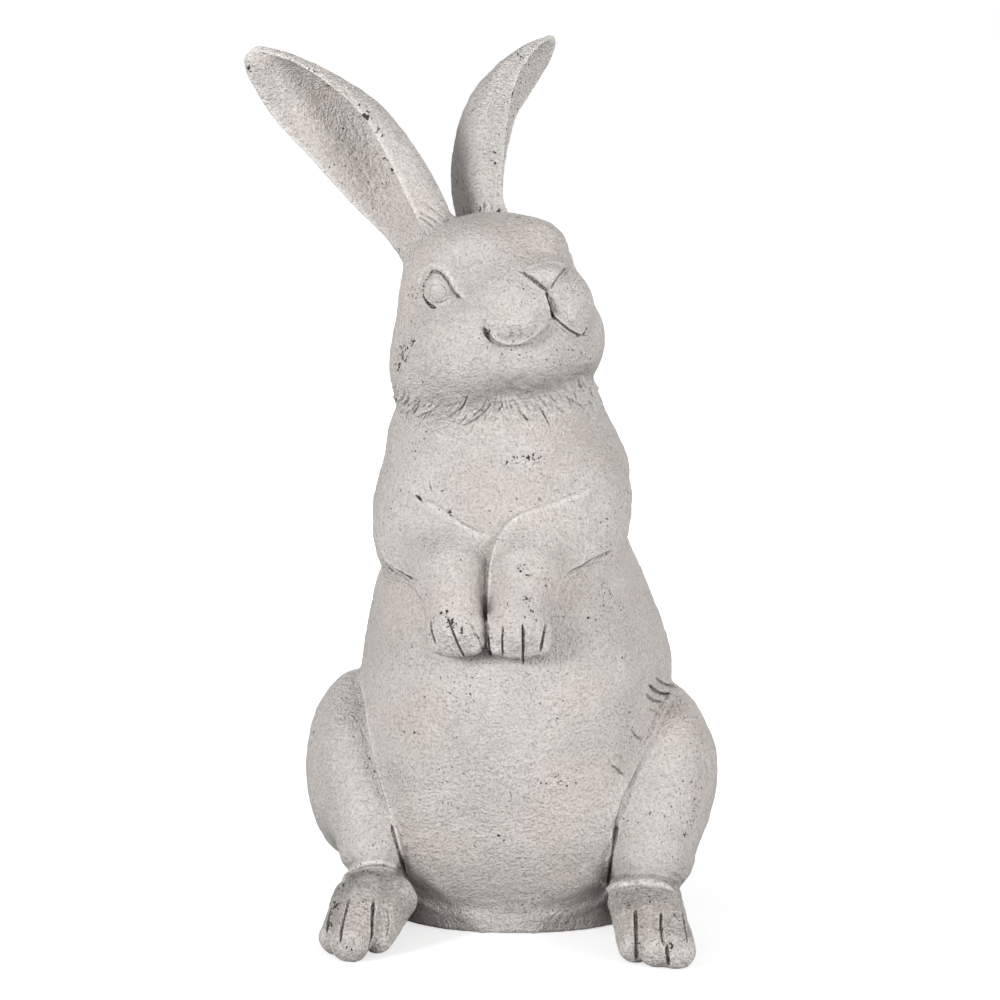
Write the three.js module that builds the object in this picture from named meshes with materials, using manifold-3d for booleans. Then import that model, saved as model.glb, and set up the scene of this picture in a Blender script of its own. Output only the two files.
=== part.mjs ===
// Garden ornament: a rabbit sitting up on its haunches, cast in resin.
// Millimetres, +Z up. The rabbit faces -Y and its own left side is +X.
// The origin is the middle of the base, on the surface that the rabbit stands on.
// The castings are bonded together: a seam follows each crease, and a dowel crosses it.

import * as THREE from 'three';
import Module from 'manifold-3d';

const wasm = await Module();
wasm.setup();

// Joints between castings
const BOND_GAP = 0.3;
const DOWEL_CLEARANCE = 0.3;

// Body: overall sizes, and its cross-sections from the base up to the neck as shares of them.
// half: half of the width. front, back: reach forward and backward. shift: middle, towards the left.
const BODY_HEIGHT = 290;
const BODY_HALF_WIDTH = 84;
const BODY_FRONT = 93;
const BODY_BACK = 85;
const NECK_SHIFT = -12;
const BODY_SECTIONS = [
  { z: -0.07, half: 0.74, front: 0.49, back: 0.59, shift: 0 },
  { z: 0, half: 0.86, front: 0.625, back: 0.705, shift: 0 },
  { z: 0.075, half: 0.955, front: 0.785, back: 0.88, shift: 0 },
  { z: 0.2, half: 1, front: 0.935, back: 1, shift: 0 },
  { z: 0.345, half: 1, front: 1, back: 0.99, shift: 0 },
  { z: 0.475, half: 0.955, front: 0.98, back: 0.895, shift: 0 },
  { z: 0.595, half: 0.86, front: 0.925, back: 0.755, shift: 0.08 },
  { z: 0.71, half: 0.785, front: 0.86, back: 0.6, shift: 0.33 },
  { z: 0.82, half: 0.775, front: 0.805, back: 0.445, shift: 0.42 },
  { z: 0.91, half: 0.665, front: 0.72, back: 0.28, shift: 0.58 },
  { z: 0.965, half: 0.535, front: 0.655, back: 0.14, shift: 0.83 },
  { z: 1, half: 0.335, front: 0.54, back: 0.025, shift: 1 },
];
const BODY_SQUARENESS = 2.25;
const BODY_WALL = 9;
const RINGS_PER_SECTION = 2;
const BODY_SIDES = 36;
const CAVITY_TOP = BODY_HEIGHT - 38;
const CAVITY_SIDES = 24;

// Base plate, set into the bottom of the body
const PLATE_HALF_WIDTH = 62;
const PLATE_HALF_DEPTH = 47;
const PLATE_THICKNESS = 6;
const LEDGE_WIDTH = 5;
const VENT_DIAMETER = 12;
const VENT_PLACE = new THREE.Vector2(24, 14);

// Dowels that locate a limb on the body: how deep they sit on each side of the seam
const DOWEL_DIAMETER = 8;
const DOWEL_IN_BODY = 6;
const DOWEL_IN_LIMB = 14;

// Head, in its own frame: -Y is towards the nose, +Z the top of the skull
const HEAD_RISE = 24;
const HEAD_FORWARD = 33;
const HEAD_CENTRE = new THREE.Vector3(NECK_SHIFT - 1.4, -HEAD_FORWARD, BODY_HEIGHT + HEAD_RISE);
const HEAD_YAW = 33;
const HEAD_PITCH = 18;
const HEAD_ROLL = 3;
const SKULL_PLACE = new THREE.Vector3(0, 2, 11);
const SKULL_RADII = new THREE.Vector3(44, 50, 44);
const CHEEK_PLACE = new THREE.Vector3(28.5, -6, -15);
const CHEEK_RADII = new THREE.Vector3(29, 34, 27);
const BROW_PLACE = new THREE.Vector3(19.5, -27, 27);
const BROW_RADII = new THREE.Vector3(16, 20, 15);
const BRIDGE_START = new THREE.Vector3(0, -20, 4);
const BRIDGE_END = new THREE.Vector3(0, -46, 3);
const BRIDGE_START_RADIUS = 28;
const BRIDGE_END_RADIUS = 15;
const MUZZLE_PLACE = new THREE.Vector3(14.5, -44, -5);
const MUZZLE_RADIUS = 20.5;
const NOSE_PLACE = new THREE.Vector3(0, -60, 8);
const NOSE_RADII = new THREE.Vector3(10, 7, 6);
const CHIN_PLACE = new THREE.Vector3(0, -32, -21);
const CHIN_RADII = new THREE.Vector3(26, 24, 22);
const EYE_PLACE = new THREE.Vector3(34, -21, 16);
const EYE_RADIUS = 10;

// Ears, from the root to the tip
const EAR_ROOT = new THREE.Vector3(19.5, 10, 38);
const EAR_LENGTH = 139.3;
const EAR_DIRECTION = new THREE.Vector3(0.513, 0.086, 0.854);
const EAR_OPENING = new THREE.Vector3(0.86, -0.5, -0.3);
const EAR_HALF_WIDTH = 25;
const EAR_HALF_DEPTH = 20;
const EAR_BOW = 17;
const EAR_SWAY = 3;
const EAR_HOLLOW_DEPTH = 30;
const EAR_RIM_ANGLE = 62;
const EAR_ROD_DIAMETER = 5;
const EAR_ROD_IN_HEAD = 26;
const EAR_ROD_IN_EAR = 40;

// Forelegs, folded on the chest with the paws hanging side by side
const PAWS_MIDDLE = -11;
const PAW_SPACING = 33;
const PAW_FORWARD = BODY_FRONT + 7;
const PAW_HEIGHT = 0.58 * BODY_HEIGHT;
const PAW_RADIUS = 16;
const WRIST_RISE = 31;
const WRIST_BACK = 9;
const WRIST_RADIUS = 16;
const SHOULDER_PLACE = new THREE.Vector3(0.45 * BODY_HALF_WIDTH, -30, 0.75 * BODY_HEIGHT);
const SHOULDER_RADIUS = 30;
const SHOULDER_SHIFT = -6;
const ELBOW_PLACE = new THREE.Vector3(0.55 * BODY_HALF_WIDTH, -BODY_FRONT / 2, 0.697 * BODY_HEIGHT);
const ELBOW_RADIUS = 21;
const PAW_TOE_RADIUS = 5;
const PAW_TOE_SPACING = 7.6;
const PAW_TOE_DROP = 13;
const PAW_TOE_FORWARD = 7;

// Hind legs
const THIGH_PLACE = new THREE.Vector3(BODY_HALF_WIDTH - 6.5, -6, 78.5);
const THIGH_RADII = new THREE.Vector3(26, 58, 52);
const SHANK_TOP = new THREE.Vector3(BODY_HALF_WIDTH - 8, -34, 76);
const SHANK_TOP_RADIUS = 29;
const ANKLE_PLACE = new THREE.Vector3(BODY_HALF_WIDTH - 13, -70, 44);
const ANKLE_RADIUS = 21;

// Hind feet, flat on the floor
const HEEL_PLACE = new THREE.Vector3(ANKLE_PLACE.x - 1, -26, 14);
const HEEL_RADIUS = 18;
const INSTEP_PLACE = new THREE.Vector3(ANKLE_PLACE.x, -88, 22);
const INSTEP_RADIUS = 21;
const KNUCKLE_SPACING = 8.5;
const KNUCKLE_RADIUS = 12;
const TOE_REACH = 37;
const OUTER_TOE_BACK = 3;
const TOE_SPACING = 12;
const TOE_RADIUS = 7.5;
const TOE_SPLAY = 1;
const FOOT_DOWEL_LENGTH = 28;

// Tail, a tuft low on the back
const TAIL_PLACE = new THREE.Vector3(0, BODY_BACK - 1, 34);
const TAIL_RADII = new THREE.Vector3(21, 19, 23);

// Facet sizes: how fine each casting's skin is divided
const HEAD_FACET = 6.2;
const FORELEG_FACET = 5.5;
const LEG_FACET = 9;
const FOOT_FACET = 5.2;
const TAIL_FACET = 7;
const ROUND_SIDES = 20;
const SHORTEST_EDGE = 0.05;

// How softly neighbouring forms melt into one another
const HEAD_SOFTNESS = 16;
const FEATURE_SOFTNESS = 4;
const FORELEG_SOFTNESS = 10;
const TOE_SOFTNESS = 2;
const LEG_SOFTNESS = 20;

// Finishes
const PALE_STONE = { color: 0xcec9c3, roughness: 0.88, metalness: 0 };
const DULL_STEEL = { color: 0x8d8f92, roughness: 0.45, metalness: 0.9 };

const LEFT = 1;
const RIGHT = -1;

// Shapes as distance rules: below zero inside, above zero outside

function ball(place, radii) {
  return (point) => {
    const local = point.clone().sub(place);
    const scaled = local.clone().divide(radii);
    const reach = scaled.length();
    const slope = scaled.divide(radii).length();
    return slope < 1e-9 ? -Math.min(radii.x, radii.y, radii.z) : (reach * (reach - 1)) / slope;
  };
}

function limb(start, end, startRadius, endRadius) {
  const axis = end.clone().sub(start);
  const length = axis.length();
  axis.normalize();
  const taper = (startRadius - endRadius) / length;
  const lean = Math.sqrt(Math.max(0, 1 - taper * taper));
  return (point) => {
    const local = point.clone().sub(start);
    const along = local.dot(axis);
    const out = Math.sqrt(Math.max(0, local.lengthSq() - along * along));
    const side = -taper * out + lean * along;
    if (side < 0) return Math.hypot(out, along) - startRadius;
    if (side > lean * length) return Math.hypot(out, along - length) - endRadius;
    return out * lean + along * taper - startRadius;
  };
}

function meltTwo(first, second, softness) {
  const share = Math.max(softness - Math.abs(first - second), 0) / softness;
  return Math.min(first, second) - (share * share * softness) / 4;
}

function melt(softness, ...rules) {
  return (point) => rules.map((rule) => rule(point)).reduce((a, b) => meltTwo(a, b, softness));
}

function placed(rule, matrix) {
  const inverse = matrix.clone().invert();
  return (point) => rule(point.clone().applyMatrix4(inverse));
}

// A smooth curve through values given at rising stations
function curveThrough(stations, key, value) {
  const at = (index) => Math.min(Math.max(index, 0), stations.length - 1);
  const stay = Math.min(Math.max(key, stations[0].z), stations[stations.length - 1].z);
  let low = 0;
  while (low < stations.length - 2 && stations[low + 1].z <= stay) low += 1;
  const before = stations[at(low - 1)];
  const start = stations[low];
  const end = stations[low + 1];
  const after = stations[at(low + 2)];
  const span = end.z - start.z;
  const part = (stay - start.z) / span;
  const startSlope = ((end[value] - before[value]) / (end.z - before.z)) * span;
  const endSlope = ((after[value] - start[value]) / (after.z - start.z)) * span;
  const square = part * part;
  const cube = square * part;
  return (
    (2 * cube - 3 * square + 1) * start[value] +
    (cube - 2 * square + part) * startSlope +
    (3 * square - 2 * cube) * end[value] +
    (cube - square) * endSlope
  );
}

function gradient(rule, point) {
  const step = 0.05;
  const slope = new THREE.Vector3();
  for (const axis of ['x', 'y', 'z']) {
    const ahead = point.clone();
    const behind = point.clone();
    ahead[axis] += step;
    behind[axis] -= step;
    slope[axis] = (rule(ahead) - rule(behind)) / (2 * step);
  }
  return slope;
}

// Skin: a closed net of triangles over the surface where a rule is zero.
// Space is divided into cubes. Each sheet of surface in a cube gets one point,
// and each cube edge that the surface crosses gets one face between the four cubes round it.
// With a margin, the same net stands that much further out, as the space to leave round the form.

const AXIS_BITS = [1, 2, 4];

function skin(rule, low, high, facet, margin = 0) {
  const [nx, ny, nz] = ['x', 'y', 'z'].map((axis) => Math.ceil((high[axis] - low[axis]) / facet) + 1);
  const steps = [1, nx, nx * ny];
  const place = (i, j, k) => new THREE.Vector3(low.x + i * facet, low.y + j * facet, low.z + k * facet);
  const inside = [];
  const values = [];
  for (let k = 0; k < nz; k += 1) {
    for (let j = 0; j < ny; j += 1) {
      for (let i = 0; i < nx; i += 1) values.push(rule(place(i, j, k)));
    }
  }
  values.forEach((value) => inside.push(value < 0));
  const corner = (cell, a) => cell + (a & 1) * steps[0] + ((a >> 1) & 1) * steps[1] + (a >> 2) * steps[2];
  const pointOf = new Map();
  const points = [];
  for (let k = 0; k < nz - 1; k += 1) {
    for (let j = 0; j < ny - 1; j += 1) {
      for (let i = 0; i < nx - 1; i += 1) {
        const cell = i + nx * (j + ny * k);
        const signs = [0, 1, 2, 3, 4, 5, 6, 7].map((a) => inside[corner(cell, a)]);
        if (signs.every((sign) => sign === signs[0])) continue;
        for (const sheet of sheetsOf(signs)) {
          const middle = new THREE.Vector3();
          for (const { a, b } of sheet) {
            const start = place(i + (a & 1), j + ((a >> 1) & 1), k + (a >> 2));
            const end = place(i + (b & 1), j + ((b >> 1) & 1), k + (b >> 2));
            const [from, to] = [values[corner(cell, a)], values[corner(cell, b)]];
            middle.addScaledVector(start.lerp(end, from / (from - to)), 1 / sheet.length);
            pointOf.set(`${cell},${a},${b}`, points.length);
          }
          points.push(settle(rule, middle, facet, margin));
        }
      }
    }
  }
  const triangles = [];
  for (let cell = 0; cell < inside.length; cell += 1) {
    for (let axis = 0; axis < 3; axis += 1) {
      const next = cell + steps[axis];
      if (next >= inside.length || inside[cell] === inside[next]) continue;
      const [second, third] = [(axis + 1) % 3, (axis + 2) % 3];
      const ring = [[1, 1], [0, 1], [0, 0], [1, 0]].map(([v, w]) => {
        const a = v * AXIS_BITS[second] + w * AXIS_BITS[third];
        return pointOf.get(`${cell - v * steps[second] - w * steps[third]},${a},${a | AXIS_BITS[axis]}`);
      });
      if (inside[cell]) ring.reverse();
      const [p, q, r, s] = ring;
      const flip = points[q].distanceTo(points[s]) <= points[p].distanceTo(points[r]);
      triangles.push(...(flip ? [p, s, q, q, s, r] : [p, r, q, p, s, r]));
    }
  }
  return solidFrom(points.flatMap((point) => point.toArray()), triangles);
}

// The sheets of surface that pass through a cube, each as the cube edges that it crosses.
// Crossed edges belong together where a cube face joins them. Where a face is crossed four times,
// the two edges that meet at an inside corner are joined.
function sheetsOf(signs) {
  const crossed = [];
  for (let a = 0; a < 8; a += 1) {
    for (const bit of AXIS_BITS) {
      if (!(a & bit) && signs[a] !== signs[a | bit]) crossed.push({ a, b: a | bit, sheet: crossed.length });
    }
  }
  const join = (first, second) => {
    const [kept, old] = [first.sheet, second.sheet];
    crossed.forEach((edge) => { if (edge.sheet === old) edge.sheet = kept; });
  };
  for (const bit of AXIS_BITS) {
    for (const side of [0, bit]) {
      const onFace = crossed.filter(({ a, b }) => (a & bit) === side && (b & bit) === side);
      if (onFace.length === 2) join(onFace[0], onFace[1]);
      if (onFace.length < 4) continue;
      for (let a = 0; a < 8; a += 1) {
        if ((a & bit) !== side || !signs[a]) continue;
        const meeting = onFace.filter((edge) => edge.a === a || edge.b === a);
        join(meeting[0], meeting[1]);
      }
    }
  }
  const sheets = new Map();
  for (const edge of crossed) sheets.set(edge.sheet, [...(sheets.get(edge.sheet) ?? []), edge]);
  return sheets.values();
}

// Moves a point onto the surface, never further than half a facet, then out by the margin
function settle(rule, point, facet, margin) {
  const settled = point.clone();
  for (let pass = 0; pass < 3; pass += 1) {
    const slope = gradient(rule, settled);
    settled.addScaledVector(slope, -rule(settled) / Math.max(slope.lengthSq(), 0.05));
  }
  const moved = settled.clone().sub(point);
  const outward = gradient(rule, settled).setLength(margin);
  return point.clone().add(moved.clampLength(0, facet / 2)).add(outward);
}

// Solids

function solidFrom(positions, triangles) {
  const mesh = new wasm.Mesh({
    numProp: 3,
    vertProperties: new Float32Array(positions),
    triVerts: new Uint32Array(triangles),
  });
  return new wasm.Manifold(mesh);
}

function solidOf(geometry) {
  const plain = geometry.clone();
  const position = plain.getAttribute('position');
  const seen = new Map();
  const positions = [];
  const order = [];
  for (let i = 0; i < position.count; i += 1) {
    const key = [position.getX(i), position.getY(i), position.getZ(i)].map((n) => Math.round(n * 1e4)).join();
    if (!seen.has(key)) {
      seen.set(key, positions.length / 3);
      positions.push(position.getX(i), position.getY(i), position.getZ(i));
    }
    order.push(seen.get(key));
  }
  const index = plain.getIndex().array;
  const triangles = [];
  for (let t = 0; t < index.length; t += 3) {
    const corners = [order[index[t]], order[index[t + 1]], order[index[t + 2]]];
    if (new Set(corners).size === 3) triangles.push(...corners);
  }
  return solidFrom(positions, triangles);
}

// A solid through rings of points, closed with a fan at each end
function loft(rings) {
  const count = rings[0].length;
  const points = rings.flat();
  const triangles = [];
  for (let ring = 0; ring < rings.length - 1; ring += 1) {
    for (let i = 0; i < count; i += 1) {
      const next = (i + 1) % count;
      const [a, b] = [ring * count + i, ring * count + next];
      triangles.push(a, b, b + count, a, b + count, a + count);
    }
  }
  for (const [start, turned] of [[0, true], [(rings.length - 1) * count, false]]) {
    const middle = new THREE.Vector3();
    for (let i = 0; i < count; i += 1) middle.addScaledVector(points[start + i], 1 / count);
    points.push(middle);
    for (let i = 0; i < count; i += 1) {
      const pair = [start + i, start + ((i + 1) % count)];
      if (turned) pair.reverse();
      triangles.push(points.length - 1, ...pair);
    }
  }
  const solid = solidFrom(points.flatMap((point) => point.toArray()), triangles);
  if (solid.volume() > 0) return solid;
  return solidFrom(points.flatMap((point) => point.toArray()), triangles.reverse());
}

function rod(from, to, diameter) {
  const axis = to.clone().sub(from);
  const geometry = new THREE.CylinderGeometry(diameter / 2, diameter / 2, axis.length(), ROUND_SIDES);
  const turn = new THREE.Quaternion().setFromUnitVectors(new THREE.Vector3(0, 1, 0), axis.clone().normalize());
  geometry.applyQuaternion(turn);
  geometry.translate(...from.clone().lerp(to, 0.5).toArray());
  return solidOf(geometry);
}

// A rod longer and thicker than its dowel by the clearance, to bore the hole for it
function bore(from, to, diameter) {
  const extra = to.clone().sub(from).setLength(DOWEL_CLEARANCE);
  return rod(from.clone().sub(extra), to.clone().add(extra), diameter + 2 * DOWEL_CLEARANCE);
}

function block(low, high) {
  const size = high.clone().sub(low);
  const geometry = new THREE.BoxGeometry(size.x, size.y, size.z);
  geometry.translate(...low.clone().add(high).multiplyScalar(0.5).toArray());
  return solidOf(geometry);
}

const FAR = 600;
const underFloor = block(new THREE.Vector3(-FAR, -FAR, -FAR), new THREE.Vector3(FAR, FAR, 0));

function mirrored(vector, side) {
  return new THREE.Vector3(vector.x * side, vector.y, vector.z);
}

// Body

const BODY_SIZES = { half: BODY_HALF_WIDTH, front: BODY_FRONT, back: BODY_BACK, shift: NECK_SHIFT };

function bodyReach(height, value) {
  return BODY_SIZES[value] * curveThrough(BODY_SECTIONS, height / BODY_HEIGHT, value);
}

// One cross-section of the body, made larger or smaller by an even amount
function bodyRing(height, amount, sides) {
  const reach = (value) => bodyReach(height, value) + amount;
  const shift = bodyReach(height, 'shift');
  const ring = [];
  for (let i = 0; i < sides; i += 1) {
    const angle = (2 * Math.PI * i) / sides;
    const squared = (share) => Math.sign(share) * Math.abs(share) ** (2 / BODY_SQUARENESS);
    const across = squared(Math.cos(angle));
    const depth = squared(Math.sin(angle));
    const y = depth * reach(depth < 0 ? 'front' : 'back');
    ring.push(new THREE.Vector3(shift + across * reach('half'), y, height));
  }
  return ring;
}

// Rings of the body between two heights, with the same number of them between each two sections
function bodyForm(amount, bottom, top, ringsPerSection, sides) {
  const heights = [bottom];
  for (let i = 0; i < BODY_SECTIONS.length - 1; i += 1) {
    for (let part = 1; part <= ringsPerSection; part += 1) {
      const share = part / ringsPerSection;
      const height = BODY_HEIGHT * THREE.MathUtils.lerp(BODY_SECTIONS[i].z, BODY_SECTIONS[i + 1].z, share);
      if (height > bottom && height < top) heights.push(height);
    }
  }
  const rings = [...heights, top].map((height) => bodyRing(height, amount, sides));
  if (amount > 0) rings.push(rings[rings.length - 1].map((point) => point.clone().setZ(top + amount)));
  return loft(rings);
}

function oval(radii, bottom, top, sides) {
  const geometry = new THREE.CylinderGeometry(1, 1, top - bottom, sides);
  geometry.rotateX(Math.PI / 2);
  geometry.scale(radii.x, radii.y, 1);
  geometry.translate(0, 0, (top + bottom) / 2);
  return solidOf(geometry);
}

function plateRadii(extra) {
  return new THREE.Vector2(PLATE_HALF_WIDTH + extra, PLATE_HALF_DEPTH + extra);
}

const BODY_STUB = BODY_HEIGHT * BODY_SECTIONS[0].z;
const bodyGrown = bodyForm(BOND_GAP, BODY_STUB, BODY_HEIGHT, RINGS_PER_SECTION, BODY_SIDES);

function bodyShell() {
  const outer = bodyForm(0, BODY_STUB, BODY_HEIGHT, RINGS_PER_SECTION, BODY_SIDES).subtract(underFloor);
  const floorOfCavity = PLATE_THICKNESS + LEDGE_WIDTH;
  const cavity = bodyForm(-BODY_WALL, floorOfCavity, CAVITY_TOP, 1, CAVITY_SIDES);
  const seat = oval(plateRadii(BOND_GAP), -1, PLATE_THICKNESS + BOND_GAP, 2 * ROUND_SIDES);
  const mouth = oval(plateRadii(-LEDGE_WIDTH), -1, floorOfCavity + 1, 2 * ROUND_SIDES);
  return outer.subtract(cavity).subtract(mouth).subtract(seat);
}

function basePlate() {
  const vent = rod(
    new THREE.Vector3(VENT_PLACE.x, VENT_PLACE.y, -PLATE_THICKNESS),
    new THREE.Vector3(VENT_PLACE.x, VENT_PLACE.y, 2 * PLATE_THICKNESS),
    VENT_DIAMETER,
  );
  return oval(plateRadii(0), 0, PLATE_THICKNESS, 2 * ROUND_SIDES).subtract(vent);
}

// Head

const headMatrix = new THREE.Matrix4()
  .makeTranslation(HEAD_CENTRE)
  .multiply(new THREE.Matrix4().makeRotationZ(THREE.MathUtils.degToRad(HEAD_YAW)))
  .multiply(new THREE.Matrix4().makeRotationX(THREE.MathUtils.degToRad(-HEAD_PITCH)))
  .multiply(new THREE.Matrix4().makeRotationY(THREE.MathUtils.degToRad(-HEAD_ROLL)));

function headRule() {
  const skull = ball(SKULL_PLACE, SKULL_RADII);
  const bridge = limb(BRIDGE_START, BRIDGE_END, BRIDGE_START_RADIUS, BRIDGE_END_RADIUS);
  const cheeks = [LEFT, RIGHT].map((side) => ball(mirrored(CHEEK_PLACE, side), CHEEK_RADII));
  const brows = [LEFT, RIGHT].map((side) => ball(mirrored(BROW_PLACE, side), BROW_RADII));
  const muzzleRadii = new THREE.Vector3(MUZZLE_RADIUS, MUZZLE_RADIUS, MUZZLE_RADIUS);
  const muzzles = [LEFT, RIGHT].map((side) => ball(mirrored(MUZZLE_PLACE, side), muzzleRadii));
  const eyeRadii = new THREE.Vector3(EYE_RADIUS, EYE_RADIUS, EYE_RADIUS);
  const eyes = [LEFT, RIGHT].map((side) => ball(mirrored(EYE_PLACE, side), eyeRadii));
  const mass = melt(HEAD_SOFTNESS, skull, bridge, ball(CHIN_PLACE, CHIN_RADII), ...cheeks, ...brows);
  const mouth = melt(FEATURE_SOFTNESS, mass, ...muzzles);
  return melt(FEATURE_SOFTNESS, mouth, ball(NOSE_PLACE, NOSE_RADII), ...eyes);
}

const headField = placed(headRule(), headMatrix);

// A box that holds balls given by their middles and largest radii, with room for the net
function boxAround(balls, facet) {
  const low = new THREE.Vector3().setScalar(Infinity);
  const high = new THREE.Vector3().setScalar(-Infinity);
  for (const [middle, radius] of balls) {
    low.min(middle.clone().subScalar(radius + 2 * facet));
    high.max(middle.clone().addScalar(radius + 2 * facet));
  }
  return [low, high];
}

function headForm(amount) {
  const balls = [[SKULL_PLACE, SKULL_RADII], [CHIN_PLACE, CHIN_RADII], [NOSE_PLACE, NOSE_RADII]];
  for (const side of [LEFT, RIGHT]) {
    balls.push([mirrored(CHEEK_PLACE, side), CHEEK_RADII], [mirrored(BROW_PLACE, side), BROW_RADII]);
    balls.push([mirrored(MUZZLE_PLACE, side), new THREE.Vector3(MUZZLE_RADIUS, 0, 0)]);
    balls.push([mirrored(EYE_PLACE, side), new THREE.Vector3(EYE_RADIUS, 0, 0)]);
  }
  const inPlace = balls.map(([middle, radii]) => [
    middle.clone().applyMatrix4(headMatrix),
    Math.max(...radii.toArray()) + HEAD_SOFTNESS / 4,
  ]);
  return skin(headField, ...boxAround(inPlace, HEAD_FACET), HEAD_FACET, amount);
}

// Ears

// Shares of the ear's full width, depth and hollow, from inside the head (0) to the tip (1)
const EAR_PROFILE = [
  { z: -0.2, width: 0.6, depth: 0.65, hollow: 0 },
  { z: 0, width: 0.7, depth: 0.72, hollow: 0 },
  { z: 0.16, width: 0.78, depth: 0.8, hollow: 0.35 },
  { z: 0.34, width: 0.9, depth: 0.92, hollow: 0.8 },
  { z: 0.54, width: 1, depth: 0.98, hollow: 1 },
  { z: 0.74, width: 0.84, depth: 0.8, hollow: 0.8 },
  { z: 0.89, width: 0.58, depth: 0.52, hollow: 0.4 },
  { z: 0.97, width: 0.36, depth: 0.32, hollow: 0.1 },
  { z: 1, width: 0.14, depth: 0.14, hollow: 0 },
];
const EAR_RINGS = 17;
const EAR_BACK_POINTS = 13;
const EAR_FRONT_POINTS = 9;

function earFrame(side) {
  const root = mirrored(EAR_ROOT, side).applyMatrix4(headMatrix);
  const along = mirrored(EAR_DIRECTION, side).transformDirection(headMatrix);
  const opening = mirrored(EAR_OPENING, side).transformDirection(headMatrix);
  opening.addScaledVector(along, -opening.dot(along)).normalize();
  const across = opening.clone().cross(along).multiplyScalar(side);
  return { root, along, opening, across };
}

// One cross-section: round at the back from rim to rim, hollowed between the rims
function earSection(width, depth, hollow) {
  const rimAngle = THREE.MathUtils.degToRad(EAR_RIM_ANGLE);
  const section = [];
  for (let i = 0; i < EAR_BACK_POINTS; i += 1) {
    const angle = rimAngle + ((2 * Math.PI - 2 * rimAngle) * i) / (EAR_BACK_POINTS - 1);
    section.push(new THREE.Vector2(width * Math.sin(angle), depth * Math.cos(angle)));
  }
  for (let i = 1; i <= EAR_FRONT_POINTS; i += 1) {
    const share = -1 + (2 * i) / (EAR_FRONT_POINTS + 1);
    const angle = share * rimAngle;
    const sunk = hollow * (1 - share * share) ** 0.8;
    section.push(new THREE.Vector2(width * Math.sin(angle), depth * Math.cos(angle) - sunk));
  }
  return section;
}

function earForm(side) {
  const { root, along, opening, across } = earFrame(side);
  const rings = [];
  for (let i = 0; i < EAR_RINGS; i += 1) {
    const part = THREE.MathUtils.lerp(EAR_PROFILE[0].z, 1, Math.sin(((i / (EAR_RINGS - 1)) * Math.PI) / 2));
    const profile = (value) => curveThrough(EAR_PROFILE, part, value);
    const bow = -EAR_BOW * 4 * part * (1 - part);
    const sway = EAR_SWAY * 4 * part * (1 - part);
    const middle = root.clone().addScaledVector(along, part * EAR_LENGTH);
    middle.addScaledVector(opening, bow).addScaledVector(across, sway);
    const section = earSection(
      EAR_HALF_WIDTH * profile('width'),
      EAR_HALF_DEPTH * profile('depth'),
      EAR_HOLLOW_DEPTH * profile('hollow'),
    );
    const placeOf = ({ x, y }) => middle.clone().addScaledVector(across, x).addScaledVector(opening, y);
    rings.push(section.map(placeOf));
  }
  return loft(rings);
}

function earRodEnds(side) {
  const { root, along, opening } = earFrame(side);
  const lean = along.clone().addScaledVector(opening, (-4 * EAR_BOW) / EAR_LENGTH).normalize();
  return [
    root.clone().addScaledVector(lean, -EAR_ROD_IN_HEAD),
    root.clone().addScaledVector(lean, EAR_ROD_IN_EAR),
  ];
}

// Forelegs

function pawPlace(side) {
  return new THREE.Vector3(PAWS_MIDDLE + (side * PAW_SPACING) / 2, -PAW_FORWARD, PAW_HEIGHT);
}

function forelegRule(side) {
  const shoulder = mirrored(SHOULDER_PLACE, side);
  const elbow = mirrored(ELBOW_PLACE, side);
  shoulder.x += SHOULDER_SHIFT;
  elbow.x += SHOULDER_SHIFT;
  const paw = pawPlace(side);
  const wrist = paw.clone().add(new THREE.Vector3(0, WRIST_BACK, WRIST_RISE));
  const toes = [-1.5, -0.5, 0.5, 1.5].map((step) => {
    const knuckle = paw.clone().add(new THREE.Vector3(step * PAW_TOE_SPACING, -PAW_TOE_FORWARD, 0));
    const end = knuckle.clone().add(new THREE.Vector3(0, 0, Math.abs(step) - PAW_TOE_DROP));
    return limb(knuckle, end, PAW_TOE_RADIUS, PAW_TOE_RADIUS);
  });
  const upper = limb(shoulder, elbow, SHOULDER_RADIUS, ELBOW_RADIUS);
  const fore = limb(elbow, wrist, ELBOW_RADIUS, WRIST_RADIUS);
  const hand = limb(wrist, paw, WRIST_RADIUS, PAW_RADIUS);
  return melt(TOE_SOFTNESS, melt(FORELEG_SOFTNESS, upper, fore, hand), ...toes);
}

function forelegForm(side, amount) {
  const shift = new THREE.Vector3(SHOULDER_SHIFT, 0, 0);
  const balls = [
    [mirrored(SHOULDER_PLACE, side).add(shift), SHOULDER_RADIUS],
    [mirrored(ELBOW_PLACE, side).add(shift), ELBOW_RADIUS],
    [pawPlace(side).add(new THREE.Vector3(0, WRIST_BACK, WRIST_RISE)), WRIST_RADIUS],
    [pawPlace(side), PAW_RADIUS + PAW_TOE_DROP + PAW_TOE_RADIUS],
  ];
  return skin(forelegRule(side), ...boxAround(balls, FORELEG_FACET), FORELEG_FACET, amount);
}

// Hind legs and feet

function hindLegForm(side, amount) {
  const place = mirrored(THIGH_PLACE, side);
  const ankle = mirrored(ANKLE_PLACE, side);
  const thigh = ball(place, THIGH_RADII);
  const shank = limb(mirrored(SHANK_TOP, side), ankle, SHANK_TOP_RADIUS, ANKLE_RADIUS);
  const balls = [
    [place, Math.max(...THIGH_RADII.toArray())],
    [mirrored(SHANK_TOP, side), SHANK_TOP_RADIUS],
    [ankle, ANKLE_RADIUS],
  ];
  return skin(melt(LEG_SOFTNESS, thigh, shank), ...boxAround(balls, LEG_FACET), LEG_FACET, amount);
}

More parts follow.
